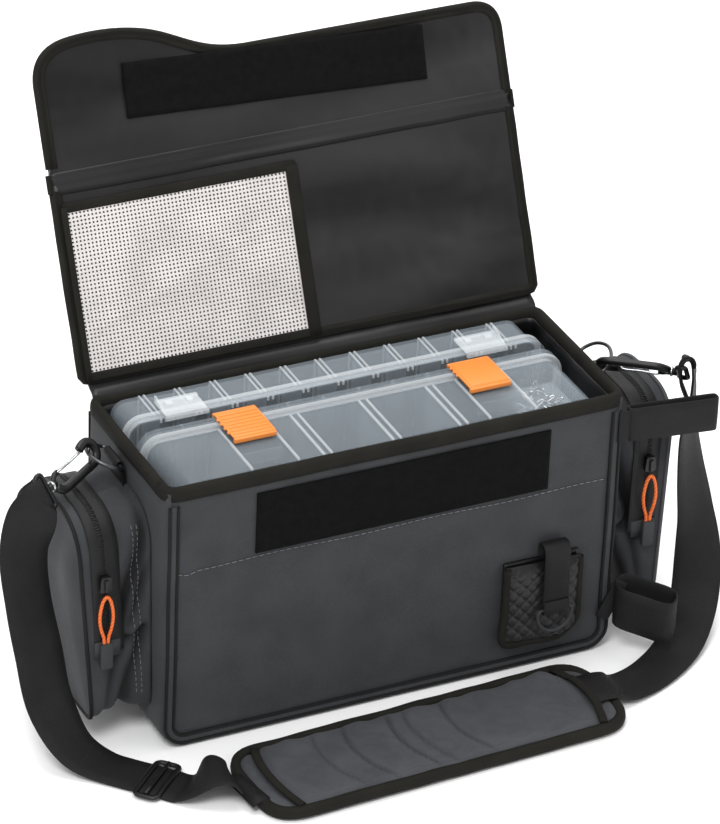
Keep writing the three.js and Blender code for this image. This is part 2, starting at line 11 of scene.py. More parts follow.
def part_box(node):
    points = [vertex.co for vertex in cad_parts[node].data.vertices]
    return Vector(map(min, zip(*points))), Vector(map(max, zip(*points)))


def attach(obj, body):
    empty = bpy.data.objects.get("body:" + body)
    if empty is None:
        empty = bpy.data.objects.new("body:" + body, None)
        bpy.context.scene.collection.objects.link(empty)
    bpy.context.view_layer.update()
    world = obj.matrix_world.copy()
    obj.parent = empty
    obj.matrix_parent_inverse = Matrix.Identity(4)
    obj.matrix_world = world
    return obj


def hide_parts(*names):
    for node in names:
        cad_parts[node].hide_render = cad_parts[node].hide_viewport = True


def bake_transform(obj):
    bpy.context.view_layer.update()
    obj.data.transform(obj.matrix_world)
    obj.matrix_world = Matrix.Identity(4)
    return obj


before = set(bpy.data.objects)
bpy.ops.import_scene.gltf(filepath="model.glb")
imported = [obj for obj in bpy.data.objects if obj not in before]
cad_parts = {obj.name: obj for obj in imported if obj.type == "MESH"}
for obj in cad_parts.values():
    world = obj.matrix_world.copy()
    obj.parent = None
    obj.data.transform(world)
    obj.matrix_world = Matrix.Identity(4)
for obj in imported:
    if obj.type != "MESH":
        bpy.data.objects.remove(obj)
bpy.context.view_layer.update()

MM = 0.001
draw = random.Random(7)


def mm_place(x, y, z):
    """A point from its three numbers, for a panel that stands square to the bag."""
    return Vector((x, y, z))


def span(node_name):
    """A CAD node's lowest and highest corner, in millimetres."""
    low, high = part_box(node_name)
    return low / MM, high / MM


# ---------------------------------------------------------------- camera, light and floor
def make_camera():
    """A long lens in front and to the left, looking down at the bag."""
    azimuth, elevation, roll = (math.radians(a) for a in (-26.82, 30.85, 2.53))
    aim, distance, aside, above = Vector((0, 0, 0.15)), 4.02597, 0.0046, 0.05443
    back = Vector((
        math.sin(azimuth) * math.cos(elevation),
        -math.cos(azimuth) * math.cos(elevation),
        math.sin(elevation),
    ))
    right = Vector((0, 0, 1)).cross(back).normalized()
    up = back.cross(right)
    turned_right = right * math.cos(roll) + up * math.sin(roll)
    turned_up = up * math.cos(roll) - right * math.sin(roll)
    data = bpy.data.cameras.new("camera")
    data.lens = 230.6
    data.sensor_width = 36
    data.clip_end = 60
    camera = bpy.data.objects.new("camera", data)
    bpy.context.scene.collection.objects.link(camera)
    turn = Matrix((turned_right, turned_up, back)).transposed().to_4x4()
    place = aim + turned_right * aside + turned_up * above + back * distance
    camera.matrix_world = Matrix.Translation(place) @ turn
    bpy.context.scene.camera = camera


def make_light(name, place, aim, size, watts):
    """A large square lamp that points at one spot."""
    data = bpy.data.lights.new(name, "AREA")
    data.size = size
    data.energy = watts
    lamp = bpy.data.objects.new(name, data)
    bpy.context.scene.collection.objects.link(lamp)
    lamp.location = place
    lamp.rotation_euler = (Vector(aim) - Vector(place)).to_track_quat("-Z", "Y").to_euler()


make_camera()
bpy.context.scene.view_settings.view_transform = "Standard"
make_light("key", (-1.4, -1.6, 2.9), (0, 0, 0.15), 1.2, 62)
make_light("fill", (2.4, -1.8, 1.4), (0, 0, 0.15), 2.0, 14)
make_light("top", (0.2, 0.7, 3.0), (0, 0, 0.15), 2.0, 56)
make_light("rim", (0.6, 2.4, 1.6), (0, 0, 0.2), 1.6, 18)


# ---------------------------------------------------------------- materials
def colour(code):
    """An sRGB hex colour as linear red, green, blue and alpha."""
    parts = [int(code[i:i + 2], 16) / 255 for i in (1, 3, 5)]
    return (*[c / 12.92 if c <= 0.04045 else ((c + 0.055) / 1.055) ** 2.4 for c in parts], 1.0)


def node(tree, kind, inputs=None, **settings):
    """Adds one node. A socket given as an input is linked, and any other value is set."""
    made = tree.nodes.new(kind)
    for key, value in settings.items():
        setattr(made, key, value)
    for key, value in (inputs or {}).items():
        if isinstance(value, bpy.types.NodeSocket):
            tree.links.new(value, made.inputs[key])
        else:
            made.inputs[key].default_value = value
    return made


def finish(name, roughness, **sockets):
    """A new material with its shader, as (material, tree, shader)."""
    material = bpy.data.materials.new(name)
    material.use_nodes = True
    tree = material.node_tree
    shader = tree.nodes["Principled BSDF"]
    shader.inputs["Roughness"].default_value = roughness
    for key, value in sockets.items():
        shader.inputs[key.replace("_", " ")].default_value = value
    return material, tree, shader


def bands(period):
    """The Wave texture's scale for bands this many millimetres apart."""
    return 0.1 * math.pi / (period * MM)


def crossed_threads(tree, period, vector, axes="XYZ"):
    """A height that rises where the threads of a weave cross over each other."""
    waves = [
        node(tree, "ShaderNodeTexWave", {"Vector": vector, "Scale": bands(period)}, bands_direction=a)
        for a in axes
    ]
    height = waves[0].outputs["Fac"]
    for wave in waves[1:]:
        height = node(
            tree, "ShaderNodeMath", {0: height, 1: wave.outputs["Fac"]}, operation="ADD",
        ).outputs[0]
        height = node(tree, "ShaderNodeMath", {0: height, 1: 1.0}, operation="PINGPONG").outputs[0]
    return height


def woven(name, dark, light, period, roughness, bump, blotch=28, axes="XYZ", from_uv=False, **sockets):
    """Woven cloth: crossed threads, slow shade changes over the panel, and fuzz between the threads.
    Where a mesh has the attribute "crease", shade is painted dark into the cloth's folds and grooves."""
    material, tree, shader = finish(name, roughness, **sockets)
    place = node(tree, "ShaderNodeTexCoord").outputs["UV" if from_uv else "Object"]
    threads = crossed_threads(tree, period, place, axes)
    fuzz = node(tree, "ShaderNodeTexNoise", {"Vector": place, "Scale": 900.0, "Detail": 2.0})
    slow = node(tree, "ShaderNodeTexNoise", {"Vector": place, "Scale": float(blotch), "Detail": 3.0})
    mixed = node(tree, "ShaderNodeMath", {0: threads, 1: fuzz.outputs["Fac"]}, operation="MULTIPLY_ADD")
    tree.links.new(slow.outputs["Fac"], mixed.inputs[2])
    ramp = node(tree, "ShaderNodeMapRange", {
        "Value": mixed.outputs[0], "From Min": 0.25, "From Max": 1.05,
    })
    tint = node(tree, "ShaderNodeMix", {
        "Factor": ramp.outputs[0], "A": colour(dark), "B": colour(light),
    }, data_type="RGBA")
    crease = node(tree, "ShaderNodeAttribute", attribute_name="crease").outputs["Fac"]
    # Painted shade: where the "crease" attribute marks a fold or groove, the colour is mixed towards near
    # black as if in shadow.
    painted_fold_shade = node(tree, "ShaderNodeMix", {
        "Factor": crease, "A": tint.outputs["Result"], "B": colour("#0a0a0b"),
    }, data_type="RGBA")
    tree.links.new(painted_fold_shade.outputs["Result"], shader.inputs["Base Color"])
    relief = node(tree, "ShaderNodeBump", {
        "Height": mixed.outputs[0], "Strength": bump, "Distance": 0.0004,
    })
    tree.links.new(relief.outputs[0], shader.inputs["Normal"])
    return material


# Polyester pack cloth with a coated back: matt, with a thread every 0.6 mm, drawn at 1.3 mm to show.
pack_cloth = woven("coated_polyester_pack_cloth", "#28292b", "#3b3c3f", 1.3, 0.78, 0.45,
                   Specular_IOR_Level=0.22, Sheen_Weight=0.06, Sheen_Roughness=0.5)


def satin(name, dark, light, roughness, **sockets):
    """Thin shiny lining: a fine weave, and long soft creases along the panel, with a sheen painted lighter
    into the colour along them.
    """
    material, tree, shader = finish(name, roughness, **sockets)
    place = node(tree, "ShaderNodeTexCoord").outputs["Object"]
    drawn = node(tree, "ShaderNodeMapping", {
        "Vector": place, "Scale": (5.0, 17.0, 17.0), "Rotation": (0, 0.16, 0),
    })
    creases = node(tree, "ShaderNodeTexNoise", {
        "Vector": drawn.outputs[0], "Scale": 1.0, "Detail": 1.6, "Roughness": 0.4, "Distortion": 0.5,
    })
    threads = crossed_threads(tree, 1.1, place)
    # Painted sheen: the colour runs from dark to light along the long crease noise, standing in for light
    # caught on the ripples.
    painted_sheen = node(tree, "ShaderNodeMapRange", {
        "Value": creases.outputs["Fac"], "From Min": 0.38, "From Max": 0.66,
    })
    mixed = node(tree, "ShaderNodeMath", {0: threads, 1: 0.14}, operation="MULTIPLY")
    mixed = node(tree, "ShaderNodeMath", {0: painted_sheen.outputs[0], 1: mixed.outputs[0]}, operation="ADD")
    tint = node(tree, "ShaderNodeMix", {
        "Factor": mixed.outputs[0], "A": colour(dark), "B": colour(light),
    }, data_type="RGBA")
    tree.links.new(tint.outputs["Result"], shader.inputs["Base Color"])
    broad = node(tree, "ShaderNodeBump", {
        "Height": creases.outputs["Fac"], "Strength": 0.9, "Distance": 0.013,
    })
    fine = node(tree, "ShaderNodeBump", {
        "Height": threads, "Strength": 0.15, "Distance": 0.0003, "Normal": broad.outputs[0],
    })
    tree.links.new(fine.outputs[0], shader.inputs["Normal"])
    return material


# The same cloth on the shoulder pad, which is stretched over foam, painted paler to stand in for the light on
# its upward face.
pad_cloth_painted_lighter = woven("pack_cloth_painted_lighter_for_pad", "#303134", "#46474b", 1.3, 0.74, 0.45,
                  Specular_IOR_Level=0.26, Sheen_Weight=0.06, Sheen_Roughness=0.5)
# Black nylon taffeta lining: smooth, with a soft shine of its own, and a sheen painted lighter into its colour
# along each ripple.
taffeta = satin("black_nylon_taffeta", "#050506", "#262627", 0.36, Specular_IOR_Level=0.3)
# Grosgrain polyester tape: matt and faintly olive, with ribs across it every 1.2 mm, drawn at 1.6 mm
# to show.
grosgrain = woven("black_grosgrain_tape", "#0b0b0a", "#24231f", 1.6, 0.85, 1.0, axes="YX", from_uv=True,
                  Specular_IOR_Level=0.15)
# Polyester webbing: a coarse twill with a slight shine.
webbing_cloth = woven("polyester_webbing", "#0a0a0b", "#1d1d1e", 2.3, 0.6, 0.9, axes="YX", from_uv=True,
                      Specular_IOR_Level=0.2)
# The hook side and the loop side of nylon hook-and-loop tape: very matt, with a rough pile.
pile = woven("nylon_hook_and_loop_pile", "#030303", "#101011", 1.6, 0.95, 1.0, blotch=160,
             Specular_IOR_Level=0.12)
# Vinyl-coated polyester mesh: white, slightly shiny strands.
coated_mesh = woven("white_vinyl_coated_mesh", "#b7b3b1", "#dcd7d5", 3.0, 0.45, 0.2)
# Braided polyester cord: a slanting twist of threads every 1.7 mm.
braid = woven("orange_braided_polyester", "#b8481a", "#ef7a3c", 1.7, 0.6, 0.9, axes=("DIAGONAL",),
              from_uv=True, Specular_IOR_Level=0.25)
# Black nylon zip tape and coil.
zip_nylon = woven("black_nylon_zip", "#060607", "#131314", 1.0, 0.5, 0.5, Specular_IOR_Level=0.3)
# Black and grey piping: coated cloth round a cord.
piping_cloth = woven("black_piping_cloth", "#070708", "#161617", 1.2, 0.6, 0.4, Specular_IOR_Level=0.2)
grey_piping_cloth = woven("grey_piping_cloth", "#38393c", "#4a4b4e", 1.2, 0.6, 0.4, Specular_IOR_Level=0.3)
# Light grey sewing thread: matt, twisted.
thread = woven("grey_sewing_thread", "#55565a", "#7c7d81", 0.8, 0.8, 0.5)
# Black sewing thread, a shade glossier than the cloth it holds.
zip_thread = woven("black_sewing_thread", "#0a0a0b", "#19191b", 0.8, 0.7, 0.4)


def moulded(name, code, roughness, mottle, grain, **sockets):
    """Moulded plastic or metal: even colour with a faint mottle, and fine scuffs in the gloss."""
    material, tree, shader = finish(name, roughness, **sockets)
    place = node(tree, "ShaderNodeTexCoord").outputs["Object"]
    slow = node(tree, "ShaderNodeTexNoise", {"Vector": place, "Scale": 60.0, "Detail": 3.0})
    base = colour(code)
    deep = tuple(c * (1 - mottle) for c in base[:3]) + (1.0,)
    tint = node(tree, "ShaderNodeMix", {
        "Factor": slow.outputs["Fac"], "A": deep, "B": base,
    }, data_type="RGBA")
    tree.links.new(tint.outputs["Result"], shader.inputs["Base Color"])
    fine = node(tree, "ShaderNodeTexNoise", {"Vector": place, "Scale": 700.0, "Detail": 3.0})
    gloss = node(tree, "ShaderNodeMapRange", {
        "Value": fine.outputs["Fac"], "To Min": roughness * 0.8, "To Max": min(1.0, roughness * 1.3),
    })
    tree.links.new(gloss.outputs[0], shader.inputs["Roughness"])
    relief = node(tree, "ShaderNodeBump", {
        "Height": fine.outputs["Fac"], "Strength": grain, "Distance": 0.0002,
    })
    tree.links.new(relief.outputs[0], shader.inputs["Normal"])
    return material, tree, shader


# Black acetal of the hooks and the adjuster, straight from the mould, with a light grain.
acetal = moulded("black_acetal", "#0d0d0e", 0.4, 0.2, 0.3, Specular_IOR_Level=0.4)[0]
# Soft grey vinyl of the pull tabs and the pouch ring.
soft_vinyl = moulded("grey_soft_vinyl", "#343538", 0.6, 0.15, 0.4, Specular_IOR_Level=0.3)[0]
# Orange polypropylene latches: smooth and a little translucent.
orange_pp = moulded("orange_polypropylene", "#ee8c3e", 0.35, 0.06, 0.15, IOR=1.49)[0]
# Dull zinc plate on the bent steel wire of the rings.
zinc = moulded("zinc_plated_wire", "#5d5e60", 0.35, 0.2, 0.2, Metallic=1.0)[0]
# Bright nickel plate on the thin steel wire of the gates and the snaps.
nickel = moulded("nickel_plated_wire", "#c9cbcd", 0.22, 0.1, 0.15, Metallic=1.0)[0]


def clear_plastic(name, code, facing, grazing, roughness):
    """Clear polypropylene: see-through where it is looked at squarely, milky along its edges."""
    material, tree, shader = moulded(name, code, roughness, 0.04, 0.1, IOR=1.49)
    edge = node(tree, "ShaderNodeLayerWeight", {"Blend": 0.14})
    share = node(tree, "ShaderNodeMapRange", {
        "Value": edge.outputs["Facing"], "To Min": facing, "To Max": grazing,
    })
    tree.links.new(share.outputs[0], shader.inputs["Alpha"])
    return material


# The boxes' thin walls, clear enough to see their cells through.
clear_pp = clear_plastic("clear_polypropylene", "#c8d4dd", 0.05, 0.62, 0.14)
# The same plastic in ribs, flanges and latches, where its thickness turns it milky.
clear_pp_thick = clear_plastic("clear_polypropylene_ribs", "#eef3f6", 0.19, 0.95, 0.2)


def make_floor():
    """A plain pale floor, far larger than the view."""
    bpy.ops.object.select_all(action="DESELECT")
    bpy.ops.mesh.primitive_plane_add(size=24, location=(0, 0, -0.0004))
    floor = bpy.context.object
    floor.name = "floor"
    material, _, shader = finish("pale_painted_floor", 0.9)
    shader.inputs["Base Color"].default_value = colour("#ffffff")
    floor.data.materials.append(material)
    world = bpy.data.worlds.new("studio")
    world.use_nodes = True
    world.node_tree.nodes["Background"].inputs["Color"].default_value = (1, 1, 1, 1)
    world.node_tree.nodes["Background"].inputs["Strength"].default_value = 0.62
    bpy.context.scene.world = world


make_floor()


# ---------------------------------------------------------------- making pieces
def dress(piece, body, material, slot, *nodes):
    """Gives a piece its finish, and says which body it rides on and which CAD nodes it stands for."""
    piece.data.materials.clear()
    piece.data.materials.append(material)
    if body:
        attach(piece, body)
    if nodes:
        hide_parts(*nodes)
    return piece


def cloth_object(name, points, faces, marks=None):
    """A mesh from points in millimetres. marks gives each point's place on the cloth, as a UV map."""
    mesh = bpy.data.meshes.new(name)
    mesh.from_pydata([p * MM for p in points], [], faces)
    if marks:
        layer = mesh.uv_layers.new(name="cloth")
        for loop in mesh.loops:
            u, v = marks[loop.vertex_index]
            layer.data[loop.index].uv = (u * MM, v * MM)
    piece = bpy.data.objects.new(name, mesh)
    bpy.context.scene.collection.objects.link(piece)
    return piece


def only(piece):
    """Makes one object the only selected one, and active."""
    bpy.ops.object.select_all(action="DESELECT")
    piece.select_set(True)
    bpy.context.view_layer.objects.active = piece


def tidy_mesh(piece, smooth_angle=None):
    """Merges doubled points, turns every face outwards and smooths the shading."""
    shape = bmesh.new()
    shape.from_mesh(piece.data)
    bmesh.ops.remove_doubles(shape, verts=shape.verts, dist=2e-6)
    bmesh.ops.recalc_face_normals(shape, faces=shape.faces)
    shape.to_mesh(piece.data)
    shape.free()
    for face in piece.data.polygons:
        face.use_smooth = True
    if smooth_angle:
        only(piece)
        bpy.ops.object.shade_smooth_by_angle(angle=math.radians(smooth_angle))
    return piece


def modify(piece, kind, **settings):
    """Adds a modifier and applies it."""
    only(piece)
    modifier = piece.modifiers.new("work", kind)
    for key, value in settings.items():
        setattr(modifier, key, value)
    bpy.ops.object.modifier_apply(modifier=modifier.name)


def soften(piece, width, segments=2, angle=40):
    """Rounds the edges where faces turn by more than this many degrees."""
    modify(piece, "BEVEL", width=width * MM, segments=segments, limit_method="ANGLE",
           angle_limit=math.radians(angle))


def copy_smooth(name, node_name, body, material, slot, levels=2, bevel=0.0):
    """A finer copy of a CAD node: merged, its corners rounded or its surface subdivided."""
    piece = bpy.data.objects.new(name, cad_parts[node_name].data.copy())
    bpy.context.scene.collection.objects.link(piece)
    shape = bmesh.new()
    shape.from_mesh(piece.data)
    bmesh.ops.remove_doubles(shape, verts=shape.verts, dist=2e-6)
    bmesh.ops.dissolve_limit(
        shape, angle_limit=math.radians(1.0), verts=shape.verts, edges=shape.edges,
    )
    shape.to_mesh(piece.data)
    shape.free()
    if bevel:
        soften(piece, bevel, 3, 28)
    if levels:
        modify(piece, "SUBSURF", levels=levels, render_levels=levels)
    tidy_mesh(piece, smooth_angle=None if levels else 35)
    return dress(piece, body, material, slot, node_name)


def two_layers(count, width):
    """Faces of a padded sheet: two layers of count rows of width points, closed round their edges."""
    size = count * width
    faces = []
    for i in range(count - 1):
        for j in range(width - 1):
            a = i * width + j
            faces.append((a, a + 1, a + width + 1, a + width))
            faces.append((size + a, size + a + width, size + a + width + 1, size + a + 1))
    ring = list(range(width)) + [i * width + width - 1 for i in range(1, count)]
    ring += [(count - 1) * width + j for j in range(width - 2, -1, -1)]
    ring += [i * width for i in range(count - 2, 0, -1)]
    for a, b in zip(ring, ring[1:] + ring[:1]):
        faces.append((a, size + a, size + b, b))
    return faces


def band_faces(a, b):
    """Faces between two closed rows of point numbers."""
    count = len(a)
    return [(a[k], a[(k + 1) % count], b[(k + 1) % count], b[k]) for k in range(count)]


def panel(name, xs, low, high, rows, near, far, place):
    """A closed padded panel. It spans xs, and from low(x) to high(x) in height. near and far give the
    depth of its two faces at (x, z), and place turns (x, depth, z) into a point."""
    points, marks = [], []
    for face in (near, far):
        for x in xs:
            bottom, top = low(x), high(x)
            for j in range(rows + 1):
                z = bottom + (top - bottom) * j / rows
                points.append(place(x, face(x, z), z))
                marks.append((x, z))
    return tidy_mesh(cloth_object(name, points, two_layers(len(xs), rows + 1), marks))


def sweep(name, stations, profile, closed=False):
    """Carries a closed profile along stations. Each station is (point, side, face), and the profile's
    numbers run along side and face. Open ends are capped."""
    count = len(profile)
    points, faces, marks = [], [], []
    along = 0.0
    around = [0.0]
    for (a0, b0), (a1, b1) in zip(profile, profile[1:]):
        around.append(around[-1] + math.hypot(a1 - a0, b1 - b0))
    for i, (point, side, face) in enumerate(stations):
        if i:
            along += (point - stations[i - 1][0]).length
        for k, (a, b) in enumerate(profile):
            points.append(point + side * a + face * b)
            marks.append((around[k], along))
    total = len(stations)
    for i in range(total if closed else total - 1):
        for k in range(count):
            a, b = i * count + k, i * count + (k + 1) % count
            c = (i + 1) % total * count
            faces.append((a, b, c + (k + 1) % count, c + k))
    if not closed:
        faces.append(tuple(range(count)))
        faces.append(tuple((total - 1) * count + k for k in range(count)))
    return tidy_mesh(cloth_object(name, points, faces, marks))


def stations(points, face, closed=False):
    """Stations along points. face is the direction that the profile's second number runs in, or a
    list with one for each point."""
    made = []
    count = len(points)
    for i, point in enumerate(points):
        before = points[i - 1] if closed or i else point
        after = points[(i + 1) % count] if closed or i < count - 1 else point
        tangent = (after - before).normalized()
        want = face[i] if isinstance(face, list) else face
        side = tangent.cross(want).normalized()
        made.append((point, side, side.cross(tangent).normalized()))
    return made


def tangent_at(points, i):
    """The direction that an open route runs in at its point i."""
    return (points[min(i + 1, len(points) - 1)] - points[max(i - 1, 0)]).normalized()


def folded_stations(points, across):
    """Stations of a strap that folds back on itself, where across runs over its width throughout."""
    return stations(points, [across.cross(tangent_at(points, i)) for i in range(len(points))])


def circle(radius, sides=10, wide=1.0, thick=1.0):
    """The section of a cord or a bar: round, or wider or thicker by these shares."""
    turns = [2 * math.pi * k / sides for k in range(sides)]
    return [(radius * math.cos(turn) * wide, radius * math.sin(turn) * thick) for turn in turns]


def flat(width, thick, crown=0.0):
    """A webbing's section: rounded edges, and a little thicker in the middle."""
    half, t = width / 2, thick / 2
    upper = [(-half, t * 0.2), (-half + t * 0.7, t), (-half * 0.5, t + crown * 0.7), (0, t + crown),
             (half * 0.5, t + crown * 0.7), (half - t * 0.7, t), (half, t * 0.2)]
    lower = [(a, -b) for a, b in reversed(upper)]
    return upper + lower


def folded_tape(reach, thick, lip=1.4):
    """The section of a tape folded round an edge: reach inwards, a rounded outer edge."""
    t = thick / 2
    outer = [(lip * math.cos(a), t * math.sin(a)) for a in (i * math.pi / 8 for i in range(-4, 5))]
    return outer + [(-reach * 0.5, t), (-reach, t * 0.86), (-reach, -t * 0.86), (-reach * 0.5, -t)]


def smooth_route(points, count):
    """Evenly numbered points on a smooth curve through the given ones."""
    ends = [points[0] * 2 - points[1], *points, points[-1] * 2 - points[-2]]
    made = []
    for step in range(count + 1):
        place = step / count * (len(points) - 1)
        i = min(int(place), len(points) - 2)
        w = place - i
        p0, p1, p2, p3 = ends[i:i + 4]
        d0, d1, d2 = (max((b - a).length, 1e-6) ** 0.5 for a, b in ((p0, p1), (p1, p2), (p2, p3)))
        m1 = ((p1 - p0) / d0 - (p2 - p0) / (d0 + d1) + (p2 - p1) / d1) * d1
        m2 = ((p2 - p1) / d1 - (p3 - p1) / (d1 + d2) + (p3 - p2) / d2) * d1
        made.append(
            p1 * (2 * w ** 3 - 3 * w ** 2 + 1) + m1 * (w ** 3 - 2 * w ** 2 + w)
            + p2 * (3 * w ** 2 - 2 * w ** 3) + m2 * (w ** 3 - w ** 2)
        )
    return made


def rounded_outline(corners, step=5.0):
    """Points round a closed outline whose corners are (a, b, radius), about step apart."""
    made = []
    count = len(corners)
    for i, (a, b, radius) in enumerate(corners):
        corner = Vector((a, b))
        before = Vector(corners[i - 1][:2])
        after = Vector(corners[(i + 1) % count][:2])
        next_radius = corners[(i + 1) % count][2]
        enter = corner + (before - corner).normalized() * radius
        leave = corner + (after - corner).normalized() * radius
        if radius:
            arc = max(4, int(radius / 3))
            made += [
                enter * (1 - t) ** 2 + corner * 2 * t * (1 - t) + leave * t ** 2
                for t in (k / arc for k in range(arc + 1))
            ]
        else:
            made.append(corner)
        goal = after + (corner - after).normalized() * next_radius
        pieces = max(1, round((goal - leave).length / step))
        made += [leave.lerp(goal, k / pieces) for k in range(1, pieces)]
    return made


def ripple(x, y, z, size, seed=0.0):
    """A smooth random number from -1 to 1 that changes over this many millimetres."""
    return noise.noise(Vector((x, y, z)) / size + Vector((seed, seed * 0.37, -seed)))


def spread(low, high, count, ends=False):
    """Numbers from low to high, closer together towards the ends if asked."""
    shares = [i / count for i in range(count + 1)]
    if ends:
        shares = [0.5 - 0.5 * math.cos(math.pi * s) for s in shares]
    return [low + (high - low) * s for s in shares]


def stitches(name, points, normal, body, material=None, length=3.0, gap_length=1.6, radius=0.35):
    """A row of sewn stitches along points: each is a short thread lying on the cloth."""
    lengths = [0.0]
    for a, b in zip(points, points[1:]):
        lengths.append(lengths[-1] + (b - a).length)

    def at(distance):
        for i in range(1, len(points)):
            if distance <= lengths[i]:
                share = (distance - lengths[i - 1]) / max(lengths[i] - lengths[i - 1], 1e-9)
                return points[i - 1].lerp(points[i], share)
        return points[-1]

    verts, faces = [], []
    distance = 0.0
    while distance + length < lengths[-1]:
        a, b = at(distance), at(distance + length)
        forward = (b - a).normalized()
        side = forward.cross(normal).normalized()
        base = len(verts)
        for share, size in ((0.0, 0.35), (0.18, 1.0), (0.82, 1.0), (1.0, 0.35)):
            middle = a.lerp(b, share)
            for k in range(5):
                turn = 2 * math.pi * k / 5
                verts.append(middle + (side * math.cos(turn) + normal * math.sin(turn)) * radius * size)
        for ring in range(3):
            for k in range(5):
                p, q = base + ring * 5 + k, base + ring * 5 + (k + 1) % 5
                faces.append((p, q, q + 5, p + 5))
        faces.append(tuple(base + k for k in range(5)))
        faces.append(tuple(base + 15 + k for k in range(5)))
        distance += length + gap_length
    piece = tidy_mesh(cloth_object(name, verts, faces))
    return dress(piece, body, material or thread, "shell_fabric")


# ---------------------------------------------------------------- the bag's body
HALF_WIDTH, HALF_DEPTH, WALL_TOP, WALL = 190.0, 74.0, 226.0, 6.0
BOTTOM_RADIUS = 20.0


def body_bottom(x, half_width, base, radius):
    """Height of the body's lower edge at x: flat, with rounded corners."""
    into = abs(x) - (half_width - radius)
    if into <= 0:
        return base
    into = min(into, radius)
    return base + radius - math.sqrt(max(radius * radius - into * into, 0.0))


def taper(z):
    """The padding thins out where the tape binds the wall's top."""
    return min(1.0, max(0.0, (z - 208) / 12))


def wall_ripple(x, z, seed):
    """Slack in the cloth: long soft waves and a few short ones, always inwards."""
    slow = ripple(x, z * 1.3, 0, 75, seed)
    quick = ripple(x * 1.4, z, 0, 22, seed + 5)
    return -0.9 - 0.8 * slow - 0.25 * quick


def seam_height(x):
    """Height of the sewn line across the front, which dips where it was started at the left."""
    return 155 + 0.7 * math.sin(x * 0.05) - 2.6 * math.exp(-((x + 172) / 5) ** 2)


def make_front_and_back():
    """The padded front and back walls, dished a little at their seams, with a sewn line across the front."""
    half = 187.5
    for name, sign, node_name in (("front_wall", -1, "front_panel"), ("back_wall", 1, "back_panel")):
        def outer(x, z, sign=sign):
            low = body_bottom(x, half, 2.5, BOTTOM_RADIUS - 2)
            edge = min(half - abs(x), z - low)
            dish = 1.6 * max(0.0, 1 - edge / 9) ** 2
            line = seam_height(x)
            seam = 0.7 * math.exp(-((z - line) / 2.2) ** 2) if sign < 0 else 0.0
            return sign * (HALF_DEPTH + wall_ripple(x, z, 3 if sign < 0 else 9) - dish - seam + 0.6)

        piece = panel(
            name, spread(-half, half, 110, ends=True),
            lambda x: body_bottom(x, half, 2.5, BOTTOM_RADIUS - 2), lambda x: WALL_TOP - 1, 66,
            outer, lambda x, z, sign=sign: sign * (HALF_DEPTH - WALL + 1.8 * taper(z)), mm_place,
        )
        dress(piece, "bag", pack_cloth, "shell_fabric", node_name)


def body_edge(inset, top, step=4.0):
    """Points (x, z) from the left wall's top, down, under the base and up to the right wall's top."""
    side = HALF_WIDTH - inset
    radius = max(BOTTOM_RADIUS - inset, 3.0)
    made = []
    rows = round((top - inset - radius) / step)
    made += [Vector((-side, top + (inset + radius - top) * i / rows)) for i in range(rows)]
    arc = 10
    made += [
        Vector((-side + radius - radius * math.cos(t), inset + radius - radius * math.sin(t)))
        for t in (math.pi / 2 * i / arc for i in range(arc))
    ]
    across = round(2 * (side - radius) / step)
    made += [Vector((-side + radius + 2 * (side - radius) * i / across, inset)) for i in range(across)]
    return made + [Vector((-p.x, p.y)) for p in reversed(made[:rows + arc + 1])]


def inward_at(edge, i):
    """The direction into the bag, square to the body's edge after its point i."""
    i = min(i, len(edge) - 2)
    along = (edge[i + 1] - edge[i]).normalized()
    return Vector((-along.y, along.x))


def make_side_band():
    """Both side walls and the base in one padded band, with its long edges rolled over to the seams."""
    edge = body_edge(0.0, WALL_TOP - 1)
    inwards = [(inward_at(edge, max(i - 1, 0)) + inward_at(edge, i)).normalized() for i in range(len(edge))]
    rows = spread(-HALF_DEPTH, HALF_DEPTH, 40, ends=True)
    roll_radius, inner_share = 5.0, 0.985
    points, marks = [], []
    length = 0.0
    for layer in (0, 1):
        for i, (p, inward) in enumerate(zip(edge, inwards)):
            length = length + (p - edge[i - 1]).length if i else 0.0
            on_wall = min(1.0, max(0.0, (p.y - 16) / 30))
            for y in rows:
                roll = max(0.0, (abs(y) - (HALF_DEPTH - roll_radius)) / roll_radius)
                fall = roll_radius * (1 - math.sqrt(max(1 - roll * roll, 0.0)))
                soft = 0.9 + 0.8 * ripple(y, p.y, p.x, 60, 2) + 0.3 * ripple(y, p.y, p.x, 18, 4)
                outer = min(fall + max(on_wall * soft, 0.0), WALL - 2.6)
                place = p + inward * (WALL - 1.8 * taper(p.y) if layer else outer)
                points.append(Vector((place.x, y * inner_share if layer else y, place.y)))
                marks.append((y, length))
    piece = tidy_mesh(cloth_object("side_and_base_band", points, two_layers(len(edge), len(rows)), marks))
    dress(piece, "bag", pack_cloth, "shell_fabric", "base_panel", "left_side_panel", "right_side_panel")


def make_pipings():
    """The two cords sewn along each front seam, the flat strip between them, and the back one."""
    front = -HALF_DEPTH - 0.9
    for name, inset, y, material, node_name in (
        ("front_pipe_outer", 2.8, front, piping_cloth, "front_piping_outer"),
        ("front_pipe_inner", 9.6, front + 0.5, piping_cloth, "front_piping_inner"),
        ("back_pipe", 2.8, -front, piping_cloth, "back_piping"),
    ):
        route = [
            Vector((p.x + 0.5 * ripple(p.x, p.y, inset, 50, 8), y, p.y))
            for p in body_edge(inset, 214)
        ]
        piece = sweep(name, stations(route, Vector((0, 1, 0))), circle(1.35, 8))
        dress(piece, "bag", material, "binding_tape", node_name)
    strip = [Vector((p.x, front + 0.9, p.y)) for p in body_edge(6.2, 214)]
    piece = sweep("front_seam_strip", stations(strip, Vector((0, -1, 0))), flat(6.0, 1.2, 0.5))
    dress(piece, "bag", pack_cloth, "shell_fabric")


